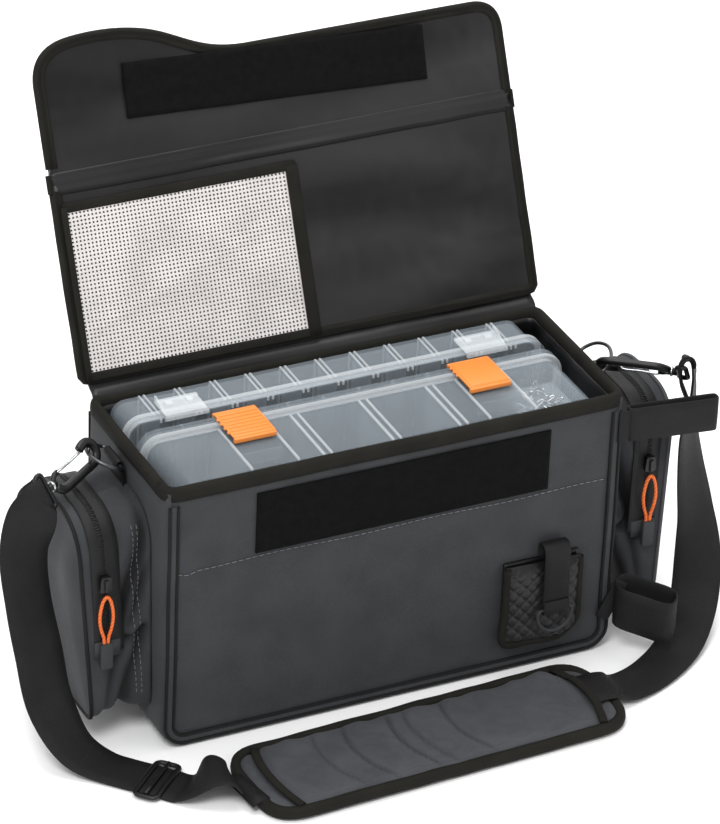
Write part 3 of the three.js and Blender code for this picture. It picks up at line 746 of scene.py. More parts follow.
def mouth_path(x, y, radius, z, step=6.0):
    """A closed path round the bag's mouth at height z, a little uneven as sewn cloth is."""
    outline = rounded_outline([(-x, -y, radius), (x, -y, radius), (x, y, radius), (-x, y, radius)], step)
    return [
        Vector((p.x, p.y, z + 0.8 * ripple(p.x, p.y, 0, 90, 11) + 0.25 * ripple(p.x, p.y, 0, 25, 12)))
        for p in outline
    ]


def make_mouth_binding():
    """The tape folded over the mouth of the bag."""
    path = mouth_path(HALF_WIDTH - 2.9, HALF_DEPTH - 3.0, 9, 223.6)
    section = [
        (4.3, -5.4), (4.7, -1.0), (4.3, 2.6), (2.8, 4.6), (0.6, 5.2), (-1.6, 4.6), (-3.2, 2.4), (-3.7, -1.0),
        (-3.6, -5.8), (0.3, -6.0),
    ]
    piece = sweep("mouth_binding", stations(path, Vector((0, 0, 1)), closed=True), section, closed=True)
    dress(piece, "bag", grosgrain, "binding_tape", "rim_binding")


def lining_thickness(p, z):
    """How thick the lining stands here: puffed out on the right wall, beside the boxes."""
    if p.x <= 178:
        return 1.6
    swell = math.sin(math.pi * min(1, max(0, (p.y + 66) / 132)))
    upper = math.exp(-((z - 197) / 17) ** 2) + 0.55 * math.exp(-((z - 160) / 16) ** 2)
    thick = 1.6 + (7.5 * swell ** 0.5 * upper + 1.8 * ripple(p.y, z, 0, 18, 21) * swell)
    return max(thick, 1.0)


def make_lining():
    """The padded lining inside the bag: an open sleeve of two layers on a floor."""
    low, high = span("inner_lining")
    x0, x1, y0, y1 = low.x + 0.5, high.x - 0.5, low.y + 0.3, high.y - 0.3
    outline = rounded_outline([(x0, y0, 6), (x1, y0, 6), (x1, y1, 6), (x0, y1, 6)], 5.0)
    rows, floor, top = 44, 7.0, 222.0
    points, faces, marks = [], [], []
    for inner in (False, True):
        for j in range(rows + 1):
            z = floor + (top - floor) * j / rows
            for i, p in enumerate(outline):
                point = Vector((p.x, p.y, z))
                if inner and abs(p.x) > 178:
                    point.x -= math.copysign(lining_thickness(p, z), p.x)
                if inner and abs(p.y) > 62:
                    point.y -= math.copysign(1.4, p.y)
                points.append(point)
                marks.append((i * 5.0, z))
    count = len(outline)
    size = count * (rows + 1)
    rings = [range(j * count, (j + 1) * count) for j in range(rows + 1)]
    inner_rings = [range(size + j * count, size + (j + 1) * count) for j in range(rows + 1)]
    for j in range(rows):
        faces += band_faces(rings[j], rings[j + 1])
        faces += band_faces(inner_rings[j], inner_rings[j + 1])
    faces += band_faces(rings[rows], inner_rings[rows])
    faces += [tuple(rings[0]), tuple(inner_rings[0])]
    piece = tidy_mesh(cloth_object("bag_lining", points, faces, marks))
    dress(piece, "bag", taffeta, "lining_fabric", "inner_lining")


make_front_and_back()
make_side_band()
make_pipings()
make_mouth_binding()
make_lining()
line = [Vector((x, -HALF_DEPTH - 0.05, seam_height(x))) for x in range(-180, 181, 3)]
stitches("front_seam_stitches", line, Vector((0, -1, 0)), "bag", length=4.2, gap_length=1.4, radius=0.33)


# ---------------------------------------------------------------- front fittings
def make_tape_pad(name, node_name, body, place, xs, zs, depth, material=None):
    """A rectangle of hook-and-loop tape: a rough pile face with sewn, slightly pressed edges."""
    def pile_face(x, z):
        edge = min(x - xs[0], xs[1] - x, z - zs[0], zs[1] - z)
        return depth[0] * (0.55 + 0.45 * min(1.0, edge / 3.0)) + 0.25 * ripple(x, z, 0, 2.5, 31)

    count = round((xs[1] - xs[0]) / 2.6)
    piece = panel(
        name, spread(*xs, count), lambda x: zs[0], lambda x: zs[1], round((zs[1] - zs[0]) / 2.6),
        pile_face, lambda x, z: depth[1], place,
    )
    return dress(piece, body, material or pile, "hook_and_loop", node_name)


low, high = span("front_loop_tape")
make_tape_pad(
    "front_loop_tape_pile", "front_loop_tape", "bag", lambda x, d, z: Vector((x, -HALF_DEPTH - 0.2 - d, z)),
    (low.x, high.x), (low.z, high.z), (2.0, 0.0),
)


def make_pouch():
    """The small tool pouch: a quilted front over a flat sleeve, a webbing loop and a ring."""
    low, high = span("tool_pouch")
    turn_x = 140

    def pouch_low(x):
        if x < turn_x:
            return low.z + 4 - 4 * (x - low.x) / (turn_x - low.x)
        return low.z + 10 * ((x - turn_x) / (high.x - turn_x)) ** 1.4

    def quilt(x, z):
        u, v = (x + z) / 11.0, (x - z) / 11.0
        cell = abs(math.sin(math.pi * u)) * abs(math.sin(math.pi * v))
        edge = max(0, min(x - low.x, high.x - x, z - pouch_low(x), high.z - 2 - z))
        puff = 2.6 * min(1.0, edge / 5.0)
        squares = 0.9 * min(1, cell * 2.2) * min(1.0, edge / 3.0)
        return -(80.5 + puff + squares)

    piece = panel(
        "tool_pouch_quilted", spread(low.x, high.x, 64), pouch_low, lambda x: high.z - 1.5 * (x - low.x) / 64,
        70, quilt, lambda x, z: -79.6, mm_place,
    )
    dress(piece, "bag", taffeta, "lining_fabric", "tool_pouch")
    rim_route = [
        Vector((x, -80.2, z)) for x, z in (
            (low.x + 1, high.z - 1), (low.x + 1, 60), (low.x + 1.2, low.z + 5), (118, low.z + 2),
            (140, low.z + 1), (151, low.z + 8), (high.x - 1, low.z + 14), (high.x - 0.5, 60),
            (high.x - 0.6, high.z - 3),
        )
    ]
    rim = stations(smooth_route(rim_route, 60), Vector((0, -1, 0)))
    dress(sweep("tool_pouch_binding", rim, circle(3.2)), "bag", grosgrain, "binding_tape")
    back = panel(
        "tool_pouch_back", spread(low.x, high.x, 24), pouch_low, lambda x: high.z + 1, 24,
        lambda x, z: -76.4, lambda x, z: -74.4, mm_place,
    )
    dress(back, "bag", taffeta, "lining_fabric")

    route = [Vector((133, y, z)) for y, z in (
        (-75.6, 99), (-75.6, 106), (-77.0, 111.5), (-80.5, 113.2), (-85, 112.6), (-87.4, 108), (-88.1, 98),
        (-88.2, 80), (-88.2, 66), (-87.2, 60.5), (-86.0, 56.5), (-87.4, 53.9), (-89.6, 54.2), (-90.6, 57.5),
        (-90.2, 61), (-89.6, 65),
    )]
    steps = folded_stations(smooth_route(route, 70), Vector((1, 0, 0)))
    piece = sweep("pouch_webbing", steps, flat(22, 1.6, 0.2))
    dress(piece, "bag", webbing_cloth, "webbing", "pouch_strap")
    copy_smooth("pouch_wire_ring", "pouch_ring", "pouch_ring_body", soft_vinyl, "grey_plastic")


make_pouch()


# ---------------------------------------------------------------- rod straps
def make_rod_straps():
    """Two flat loops of webbing at the bag's right front edge, each sewn to a short tab."""
    def loop(name, node_name, length, thick, height, turn, centre, drop):
        section_half = thick / 2 - 1.0
        outline = rounded_outline([
            (1.1, -section_half, section_half - 0.4), (length - 1.1, -section_half, section_half - 0.4),
            (length - 1.1, section_half, section_half - 0.4), (1.1, section_half, section_half - 0.4),
        ], 3.0)
        angle = math.radians(turn)
        points = []
        for p in outline:
            sag = 0.7 * ripple(p.x, p.y, 0, 24, 41)
            x = p.x * math.cos(angle) - (p.y + sag) * math.sin(angle)
            y = p.x * math.sin(angle) + (p.y + sag) * math.cos(angle)
            points.append(Vector((x, y, -drop * p.x)) + centre + Vector((0, 0, height / 2)))
        steps = stations(points, Vector((0, 0, 1)), closed=True)
        piece = sweep(name, [(p, f, s) for p, s, f in steps], flat(height, 1.9, 0.2), closed=True)
        return dress(piece, "bag", webbing_cloth, "webbing", node_name)

    loop("upper_rod_webbing", "upper_rod_strap", 74, 9, 29, -8, Vector((192.6, -74, 187)), 0.0)
    loop("lower_rod_webbing", "lower_rod_loop", 50, 26, 36, -38, Vector((192, -75, 26)), 0.2)
    for name, start, end, width in (
        ("upper_rod_tab", Vector((184.5, -76.2, 201)), Vector((196.5, -76.4, 201)), 27),
        ("lower_rod_tab", Vector((184, -76.6, 48)), Vector((193, -79.5, 43)), 34),
    ):
        route = smooth_route([start, start.lerp(end, 0.5) + Vector((0, -0.6, 0)), end], 8)
        piece = sweep(name, stations(route, Vector((0, -1, 0))), flat(width, 1.8, 0.2))
        dress(piece, "bag", webbing_cloth, "webbing")


make_rod_straps()


# ---------------------------------------------------------------- side pockets
SEAM_X, POCKET_DEPTH, POCKET_LOW = 190.3, 46.0, 26.0
POCKET_FACE, ZIP_DEPTH, DEEPEST_FOLD = POCKET_DEPTH + 2.5, 33, 10.5
POCKET_MIDDLE = Vector((0.0, 112.0))
# Creases of the gusset's front: both ends as (depth, height), how deep, and half as wide as they look.
GUSSET_FOLDS = (
    ((2, 182), (24, 100), 9.0, 4.2), ((13, 176), (30, 130), -3.0, 5.0), ((1, 150), (12, 106), 6.0, 3.4),
    ((7, 84), (23, 30), 8.0, 5.0), ((27, 72), (35, 34), 5.0, 3.6), ((12, 120), (14, 60), -2.6, 4.0),
    ((0, 96), (16, 88), 3.5, 2.6), ((16, 88), (33, 104), 3.0, 2.4),
)


def pocket_ring(outset):
    """The pocket's outline seen from the side, as (y, z) points: tapered, with large upper corners."""
    half, top = 55 + outset, 196 + outset
    upper = half - 0.05 * (top - POCKET_LOW)
    return rounded_outline([
        (-half, POCKET_LOW - outset, 12 + max(outset, -6)), (half, POCKET_LOW - outset, 12 + max(outset, -6)),
        (upper, top, 34 + outset), (-upper, top, 34 + outset),
    ], 2.6)


def pocket_point(sign, x, y, z):
    """A point of the pocket from its depth x, with the flare that makes it deeper upwards."""
    return Vector((sign * (SEAM_X + (x - SEAM_X) * (1 + 0.0013 * (z - POCKET_LOW))), y, z))


def pocket_slack(sign, depth, p):
    """How far the soft gusset falls in at this place: hollow in the middle, creased towards the seam."""
    y, z = p
    share = depth / POCKET_DEPTH
    hollow = math.sin(math.pi * min(share * 1.3, 1.0)) ** 0.7
    fold = 2.4 * hollow + 0.6 * ripple(y, z, depth, 14, 51 + sign)
    if y < 0:
        for (d0, z0), (d1, z1), deep, wide in GUSSET_FOLDS:
            run = Vector((d1 - d0, z1 - z0))
            along = ((depth - d0) * run.x + (z - z0) * run.y) / run.length_squared
            aside = ((depth - d0) * run.y - (z - z0) * run.x) / run.length
            reach = math.exp(-max(0.0, along - 1, -along) ** 2 * 14)
            fold += deep * math.exp(-abs(aside / wide) ** 1.5) * reach
        if z > 105 + 10 * math.sin(share * 2.2):
            fold += 0.7
    else:
        fold += 2.0 * hollow * (0.5 + 0.5 * math.sin(z / 13.0 + sign))
    near_seam = min(1.0, depth / 3.0 + 0.15)
    near_face = min(1.0, max(0.0, (POCKET_DEPTH - 1.5 - depth) / 5))
    return max(0.0, fold) * near_seam * near_face


def rub(piece, shares):
    """Marks how dark each point of the cloth is painted, as shade in its folds and grooves; points beyond the
    list are not darkened at all.
    """
    layer = piece.data.attributes.new("crease", "FLOAT", "POINT")
    for item, share in zip(layer.data, shares):
        item.value = share


def make_pocket_skin(side, sign):
    """The pocket's cloth: one closed skin of creased gusset and domed face."""
    ring = pocket_ring(0)
    count = len(ring)
    points, marks, loops, fold_shade = [], [], [], []

    def add(depth, q, mark):
        points.append(pocket_point(sign, SEAM_X + depth, q.x, q.y))
        marks.append(mark)
        return len(points) - 1

    around = [0.0]
    for a, b in zip(ring, ring[1:]):
        around.append(around[-1] + (b - a).length)
    for depth in spread(0, POCKET_FACE, 26):
        rank = []
        for k, p in enumerate(ring):
            slack = pocket_slack(sign, min(depth, POCKET_DEPTH), p)
            q = p + (POCKET_MIDDLE - p).normalized() * min(slack, DEEPEST_FOLD)
            # Painted shade in the gusset's folds, darker the further the cloth falls in.
            fold_shade.append(min(0.85, max(0.0, (slack - 2.4) / 6.0)))
            rank.append(add(depth, q, (around[k], depth)))
        loops.append(rank)
    dome = 3.4
    for share in (0.955, 0.88, 0.78, 0.66, 0.54, 0.42, 0.3, 0.19, 0.09):
        rank = []
        for p in ring:
            q = POCKET_MIDDLE.lerp(p, share)
            swell = dome * (1 - share ** 3) + 0.9 * ripple(q.x, q.y, sign * 9, 45, 53)
            rank.append(add(POCKET_FACE + swell, q, (q.x, q.y)))
        loops.append(rank)
    middle = add(POCKET_FACE + dome, POCKET_MIDDLE, (0, 0))
    faces = []
    for a, b in zip(loops, loops[1:]):
        faces += band_faces(a, b)
    for k in range(count):
        faces.append((loops[-1][k], loops[-1][(k + 1) % count], middle))
    faces.append(tuple(loops[0]))
    piece = tidy_mesh(cloth_object(f"{side}_pocket_skin", points, faces, marks))
    rub(piece, fold_shade)
    dress(piece, "bag", pack_cloth, "shell_fabric", f"{side}_pocket_gusset", f"{side}_pocket_face")


def make_pocket_pipe(side, sign):
    """The piping where the pocket's gusset meets its face: grey on the right, black on the left."""
    route = [pocket_point(sign, SEAM_X + POCKET_DEPTH + 2, p.x, p.y) for p in pocket_ring(0.4)]
    steps = stations(route, Vector((1, 0, 0)), closed=True)
    pipe = sweep(f"{side}_pocket_pipe", steps, circle(1.6, 8), closed=True)
    material = grey_piping_cloth if sign > 0 else piping_cloth
    dress(pipe, "bag", material, "binding_tape", f"{side}_pocket_piping")


def make_zip(side, sign):
    """The curved zip over the top of the pocket: a woven tape, a coil of small teeth and two seams."""
    ring = [p for p in pocket_ring(0.55) if p.y > 82]
    ring.sort(key=lambda p: math.atan2(p.y - 80, p.x))
    route = [pocket_point(sign, SEAM_X + ZIP_DEPTH, p.x, p.y) for p in ring]
    outward = [Vector((0, p.x, p.y - 110)).normalized() for p in ring]
    shift = 1.8 * sign * (1 if ring[0].x > ring[-1].x else -1)
    tape = sweep(f"{side}_zip_tape", stations(route, outward), [(a + shift, b) for a, b in flat(23, 0.9)])
    dress(tape, "bag", zip_nylon, "zip_tape", f"{side}_pocket_zip")
    make_teeth(f"{side}_zip_coil", [p + n * 0.6 for p, n in zip(route, outward)], outward)
    for offset, label in ((-7.2, "inner"), (7.2, "outer")):
        seam = [
            pocket_point(sign, SEAM_X + ZIP_DEPTH + offset, p.x, p.y) + n * 0.5 for p, n in zip(ring, outward)
        ]
        stitches(f"{side}_zip_{label}_stitches", seam, Vector((0, -1, 0)), "bag", zip_thread, 2.6, 1.4, 0.25)
    end = pocket_point(sign, SEAM_X + ZIP_DEPTH, -52, 88)
    cap_route = [end + Vector((0, y, z)) for y, z in ((-0.6, -7), (-0.9, 0), (-0.6, 7))]
    cap = sweep(f"{side}_zip_end", stations(cap_route, Vector((0, -1, 0))), flat(21, 1.3, 0.2))
    dress(cap, "bag", soft_vinyl, "grey_plastic")


def make_gusset_stitches(side, sign):
    """Two rows of sewing down the gusset's front."""
    for label, depth in (("near", 7.0), ("far", 11.0)):
        front = [p for p in pocket_ring(0) if p.x < -20 and 40 < p.y < 186]
        seam = []
        for p in sorted(front, key=lambda p: p.y):
            slack = min(pocket_slack(sign, depth, p), DEEPEST_FOLD)
            q = p + (POCKET_MIDDLE - p).normalized() * (slack - 0.15)
            seam.append(pocket_point(sign, SEAM_X + depth, q.x, q.y))
        stitches(f"{side}_gusset_{label}_stitches", seam, Vector((0, -1, 0)), "bag", length=3.2, radius=0.3)


def make_teeth(name, route, outward):
    """The zip's coil: many small turns, each a short rounded bar across the tape."""
    pitch, half_foot, half_crown = 2.0, 0.65, 0.39
    verts, faces = [], []
    lengths = [0.0]
    for a, b in zip(route, route[1:]):
        lengths.append(lengths[-1] + (b - a).length)
    for k in range(int(lengths[-1] / pitch)):
        distance = k * pitch
        i = max(j for j, length in enumerate(lengths) if length <= distance)
        i = min(i, len(route) - 2)
        share = (distance - lengths[i]) / max(lengths[i + 1] - lengths[i], 1e-6)
        place = route[i].lerp(route[i + 1], share)
        up = outward[i].lerp(outward[i + 1], share).normalized()
        forward = (route[i + 1] - route[i]).normalized()
        side = forward.cross(up)
        lean = 0.35 if k % 2 else -0.35
        base = len(verts)
        for s in (-2.5, -0.9, 0.9, 2.5):
            height = 0.1 if abs(s) > 2 else 0.55
            for a, b in ((-half_foot, -0.4), (half_foot, -0.4), (half_crown, height), (-half_crown, height)):
                verts.append(place + side * s + forward * (a + lean * s * 0.3) + up * b)
        for rank in range(base, base + 12, 4):
            for q in range(4):
                a, b = rank + q, rank + (q + 1) % 4
                faces.append((a, b, b + 4, a + 4))
        faces.append((base, base + 1, base + 2, base + 3))
        faces.append((base + 12, base + 13, base + 14, base + 15))
    dress(tidy_mesh(cloth_object(name, verts, faces)), "bag", zip_nylon, "zip_tape")


for side, sign in (("left", -1), ("right", 1)):
    make_pocket_skin(side, sign)
    make_pocket_pipe(side, sign)
    make_zip(side, sign)
    make_gusset_stitches(side, sign)


# ---------------------------------------------------------------- zip sliders and pulls
def make_pulls(side):
    """The slider on its zip, the looped orange cord through it, and the grey tab at the cord's end."""
    copy_smooth(f"{side}_slider", f"{side}_zip_slider", f"{side}_slider", acetal, "black_plastic",
                levels=0, bevel=0.5)
    copy_smooth(f"{side}_pull_tab", f"{side}_zip_tab", f"{side}_pull", soft_vinyl, "grey_plastic",
                levels=0, bevel=0.7)
    low, high = span(f"{side}_zip_cord")
    x, y = (low.x + high.x) / 2, (low.y + high.y) / 2
    down = [Vector((x + dx, y, high.z - dz)) for dx, dz in (
        (0.0, 1.2), (2.6, 4.0), (4.6, 11), (5.4, 20), (4.2, 29), (2.0, 36.5), (1.5, 43),
    )]
    up = [Vector((2 * x - p.x, p.y, p.z)) for p in reversed(down)]
    steps = stations(smooth_route(up[:-1] + down, 64), Vector((0, -1, 0)))
    cord = sweep(f"{side}_pull_cord", steps, circle(1.35, 8))
    dress(cord, f"{side}_pull", braid, "pull_cord", f"{side}_zip_cord")


for side in ("left", "right"):
    make_pulls(side)


# ---------------------------------------------------------------- rings, hooks and gates
def aimed(start, goal, normal):
    """Directions of a flat fitting: along it, across it, and square to its face."""
    u = (goal - start).normalized()
    w = (normal - u * normal.dot(u)).normalized()
    return u, w.cross(u), w


def make_hook(side, start, goal, normal):
    """A swivel snap hook: a curved nose round the ring, a wire gate, a swivel and a strap eye."""
    origin = Vector(start)
    u, v, w = aimed(origin, Vector(goal), Vector(normal))

    def at(a, b, c=0.0):
        return origin + u * a + v * b + w * c

    def part(name, points, section, material, slot, *nodes, closed=False):
        piece = sweep(f"{side}_{name}", stations(points, w, closed), section, closed)
        dress(piece, "bag", material, slot, *nodes)

    bend = 8.6
    nose = [at(44, -3.0), at(38, -8.2), at(28, -8.9), at(14, -8.7), at(3, -8.6)]
    nose += [at(bend * math.cos(t), bend * math.sin(t)) for t in
             (math.radians(d) for d in (-110, -135, -160, -185, -210, -235, -262))]
    nose += [at(3.5, 8.0), at(6.2, 7.0)]
    section = circle(2.1, 12, 1.75, 1.45)
    part("hook_nose", smooth_route(nose, 60), section, acetal, "black_plastic", f"{side}_snap_hook")
    shank = [at(36, 5.6), at(39.5, 5.4), at(43, 3.2), at(45.5, 0.6)]
    part("hook_shank", shank, circle(2.1, 12), acetal, "black_plastic")
    part("hook_swivel", [at(a, 0) for a in (43, 45, 47, 51)], circle(3.0, 14), acetal, "black_plastic")
    part("hook_collar", [at(46.2, 0), at(47.8, 0)], circle(4.0, 14), nickel, "steel_wire")
    eye = rounded_outline([(51.8, -13.4, 3), (58.6, -13.4, 3), (58.6, 13.4, 3), (51.8, 13.4, 3)], 4.0)
    part("hook_eye", [at(p.x, p.y) for p in eye], circle(1.9), acetal, "black_plastic", closed=True)

    wire = [at(36.6, 5.6, 0), at(36.8, 5.8, 1.3), at(22, 5.4, 1.3), at(8.5, 5.6, 1.2), at(6.8, 5.6, 0.0),
            at(8.5, 5.6, -1.2), at(22, 5.4, -1.3), at(36.8, 5.8, -1.3)]
    gate = sweep(f"{side}_gate_wire", stations(smooth_route(wire + [wire[0]], 60), v), circle(0.95, 8))
    dress(gate, f"{side}_gate", nickel, "steel_wire", f"{side}_hook_gate")


def make_ring(side, sign):
    """The wire ring at the bag's end, and the webbing tab that holds it."""
    copy_smooth(f"{side}_wire_ring", f"{side}_d_ring", "bag", zinc, "steel_wire")
    low, high = span(f"{side}_ring_tab")
    middle_y = (low.y + high.y) / 2
    route = [Vector((sign * x, middle_y, z)) for x, z in (
        (190.8, 176), (190.9, 190), (191.3, 203), (192.6, 209), (193.4, 213), (195.8, 215.4), (198.6, 213.6),
        (198.9, 210.4), (196.4, 207.4), (193.6, 205.2), (192.9, 198), (192.8, 184),
    )]
    steps = folded_stations(smooth_route(route, 44), Vector((0, -1, 0)))
    piece = sweep(f"{side}_ring_webbing", steps, flat(24, 1.4, 0.1))
    dress(piece, "bag", webbing_cloth, "webbing", f"{side}_ring_tab")


make_hook("left", (-216.7, 10, 220.3), (-257.7, -16, 215.3), (-0.3, 0.75, -0.45))
make_hook("right", (207.6, -18.6, 220.4), (244.5, -47.3, 221.5), (0.5, 0.5, 0.68))
for side, sign in (("left", -1), ("right", 1)):
    make_ring(side, sign)


# ---------------------------------------------------------------- the shoulder strap
# Each point of a strap's middle line, and the direction of its width there.
LEFT_ROUTE = [
    (-271.5, -19.5, 201, 0.4, -0.4, -0.8), (-268.4, -16.5, 208, 0.34, -0.38, -0.86),
    (-263.6, -18.4, 214.2, 0.34, -0.38, -0.86), (-264.6, -24.2, 216.2, 0.34, -0.38, -0.86),
    (-270.6, -25.6, 213.4, 0.34, -0.38, -0.86), (-276, -26, 200, 0.62, -0.42, -0.6),
    (-281, -22, 168, 0.95, -0.05, -0.15), (-278, -24, 125, 1, 0.1, 0), (-273, -32, 85, 1, 0, 0),
    (-269, -46, 45, 1, 0.1, 0.1), (-257, -66, 15, 0.9, 0.5, 0.1), (-240, -81, 3.6, 0.78, 0.63, 0),
    (-227, -94.1, 1.9, 0.735, 0.678, 0), (-216, -106, 1.9, 0.735, 0.678, 0),
    (-204, -119, 1.9, 0.735, 0.678, 0), (-195, -128.7, 1.9, 0.735, 0.678, 0),
    (-187.5, -135.5, 11, 0.5, 0.85, 0.05), (-179, -140, 20, 0.25, 0.96, 0.05), (-169, -145, 19, 0.1, 1, 0),
    (-161, -150, 9, 0, 1, 0),
]
RIGHT_ROUTE = [
    (136, -139, 12.0, 0, -1, 0), (149, -138.8, 12.3, 0, -1, 0), (159, -138.4, 10.4, 0, -1, 0),
    (168, -137.4, 5.4, 0.08, -1, 0), (186, -132, 2.8, 0.25, -0.97, 0), (210, -121, 2.8, 0.45, -0.9, 0),
    (238, -102, 6, 0.65, -0.76, 0), (262, -78, 20, 0.75, -0.66, 0), (274, -60, 50, 0.93, -0.3, 0),
    (273, -52, 90, 0.97, 0.25, 0), (267, -49, 130, 0.85, 0.5, 0), (262, -49, 170, 0.72, 0.68, 0),
    (260.5, -54, 203, 0.5, 0.75, -0.35), (258.6, -56.4, 222, 0.43, 0.6, -0.6),
    (257.6, -54, 230, 0.43, 0.6, -0.5), (254.4, -52.4, 233, 0.43, 0.6, -0.5),
    (251.2, -51.6, 228, 0.43, 0.6, -0.5), (250.2, -52.4, 218, 0.43, 0.7, -0.4),
    (253.6, -52.6, 206, 0.43, 0.8, -0.35), (258.4, -52, 196, 0.43, 0.85, -0.3),
]


def make_strap(name, node_name, route, count, eye):
    """A run of webbing through its route, turned as each point's last three numbers say, and drawn
    together where it passes through the hook's eye."""
    middle = smooth_route([Vector(p[:3]) for p in route], count)
    across = smooth_route([Vector(p[3:]) for p in route], count)
    steps = []
    for i, (p, a) in enumerate(zip(middle, across)):
        tangent = tangent_at(middle, i)
        side = (a - tangent * a.dot(tangent)).normalized()
        drawn = 1 - 0.4 * math.exp(-((p - eye).length / 11) ** 2)
        steps.append((p, side * drawn, tangent.cross(side).normalized()))
    piece = sweep(name, steps, flat(38, 1.9, 0.15))
    dress(piece, "bag", webbing_cloth, "webbing", node_name)
    return steps


def make_adjuster():
    """The three-bar slider: a rounded frame lying on the strap, with a bar under the webbing."""
    centre, forward = Vector((-210, -112.5, 4.3)), Vector((12, -13, 0)).normalized()
    aside, up = Vector((-forward.y, forward.x, 0)), Vector((0, 0, 1))
    outline = rounded_outline([(-9, -23, 5), (9, -23, 5), (9, 23, 5), (-9, 23, 5)], 3.0)
    ring = [centre + forward * p.x + aside * p.y - Vector((0, 0, 0.0024 * p.y * p.y)) for p in outline]
    ladder = sweep("strap_ladder", stations(ring, up, closed=True), circle(1.9, 12, 1.2, 0.9), closed=True)
    dress(ladder, "adjuster", acetal, "black_plastic", "strap_adjuster")
    middle_bar = [centre + aside * y + Vector((0, 0, 0.7)) for y in (-22, -12, 0, 12, 22)]
    bar_piece = sweep("strap_ladder_bar", stations(middle_bar, up), circle(1.6))
    dress(bar_piece, "adjuster", acetal, "black_plastic")


left_steps = make_strap("left_strap_webbing", "strap_left", LEFT_ROUTE, 190, Vector((-265.9, -21.2, 214.3)))
right_steps = make_strap("right_strap_webbing", "strap_right", RIGHT_ROUTE, 190, Vector((253.8, -54.6, 221.8)))
make_adjuster()
for label, (point, across, face) in (
    ("left_low", left_steps[104]), ("left_top", left_steps[62]), ("right_top", right_steps[116]),
):
    row = [point + across * a + face * 1.1 for a in range(-17, 18, 2)]
    stitches(f"{label}_strap_stitches", row, face, "bag", zip_thread, 2.4, 1.0, 0.3)


# ---------------------------------------------------------------- the shoulder pad
PAD_CENTRE, PAD_TURN = Vector((0, -146, 0)), math.radians(2.4)


def pad_place(x, y, z):
    """A point on the pad from its own length, width and height."""
    c, s = math.cos(PAD_TURN), math.sin(PAD_TURN)
    return Vector((x * c - y * s, x * s + y * c, z)) + PAD_CENTRE


def pad_outline(half_length, half_width, radius):
    """The pad's rounded outline, in its own length and width."""
    return rounded_outline([
        (-half_length, -half_width, radius), (half_length, -half_width, radius),
        (half_length, half_width, radius), (-half_length, half_width, radius),
    ], 5.0)


def settle(piece, pressure, limit, voxel=4.5, frames=20):
    """Blows the piece up softly as cloth, and keeps no point further than limit from where it was."""
    only(piece)
    piece.data.remesh_voxel_size = voxel * MM
    bpy.ops.object.voxel_remesh()
    rest = [v.co.copy() for v in piece.data.vertices]
    cloth = piece.modifiers.new("settle", "CLOTH")
    cloth.settings.quality = 6
    cloth.settings.use_pressure = True
    cloth.settings.uniform_pressure_force = pressure
    cloth.settings.effector_weights.gravity = 0
    cloth.settings.tension_stiffness = 12
    cloth.settings.compression_stiffness = 12
    cloth.settings.bending_stiffness = 0.4
    for number in range(1, frames + 1):
        bpy.context.scene.frame_set(number)
    made = piece.evaluated_get(bpy.context.evaluated_depsgraph_get()).data
    moved = [v.co.copy() for v in made.vertices]
    piece.modifiers.remove(cloth)
    bpy.context.scene.frame_set(1)
    for vertex, old, new in zip(piece.data.vertices, rest, moved):
        shift = new - old
        if shift.length > limit * MM:
            shift *= limit * MM / shift.length
        vertex.co = old + shift
    modify(piece, "SUBSURF", levels=1, render_levels=1)
    for face in piece.data.polygons:
        face.use_smooth = True


# Curved grooves where the pad has been bent: place along it, and depth.
PAD_GROOVES = ((-88, 1.2), (-62, 1.6), (-24, 1.8), (-10, 1.3), (22, 1.5))
PAD_HALF_LENGTH, PAD_HALF_WIDTH, BAND_AT = 151, 42, 136


def band_bow(y):
    """How far the sewn bands bow in from the pad's ends at this place across it."""
    return 0.0045 * y * y


def shape_cushion(pad):
    """Presses puckers, creases, band channels and grooves into the cushion, and paints shade into the grooves.
    """
    shades = []
    for vertex in pad.data.vertices:
        p = vertex.co / MM - PAD_CENTRE
        x = p.x * math.cos(PAD_TURN) + p.y * math.sin(PAD_TURN)
        y = p.y * math.cos(PAD_TURN) - p.x * math.sin(PAD_TURN)
        edge = min(PAD_HALF_LENGTH - abs(x), PAD_HALF_WIDTH - abs(y))
        upper = min(1.0, max(0.0, (p.z - 4) / 4))
        pucker = 1.1 * math.sin(x / 4.3 + 2 * ripple(x, 0, 0, 40, 61)) * math.exp(-edge / 9) * upper
        crease = 1.4 * ripple(x + 0.6 * y, y * 0.35, 0, 26, 62) + 0.5 * ripple(x, y, 0, 11, 63)
        channel = 4.2 * math.exp(-((abs(x) - BAND_AT + band_bow(y)) / 6.5) ** 2)
        groove = sum(
            math.exp(-((x - at - 0.007 * (y - 8) ** 2) / 1.7) ** 2) * deep for at, deep in PAD_GROOVES
        ) * upper * min(1.0, edge / 12)
        # Painted shade in the grooves, darker where they are deeper.
        shades.append(min(0.5, 0.3 * max(0.0, groove)))
        vertex.co.z = max(0.3, p.z + (pucker + crease * upper - channel * upper - groove)) * MM
    rub(pad, shades)


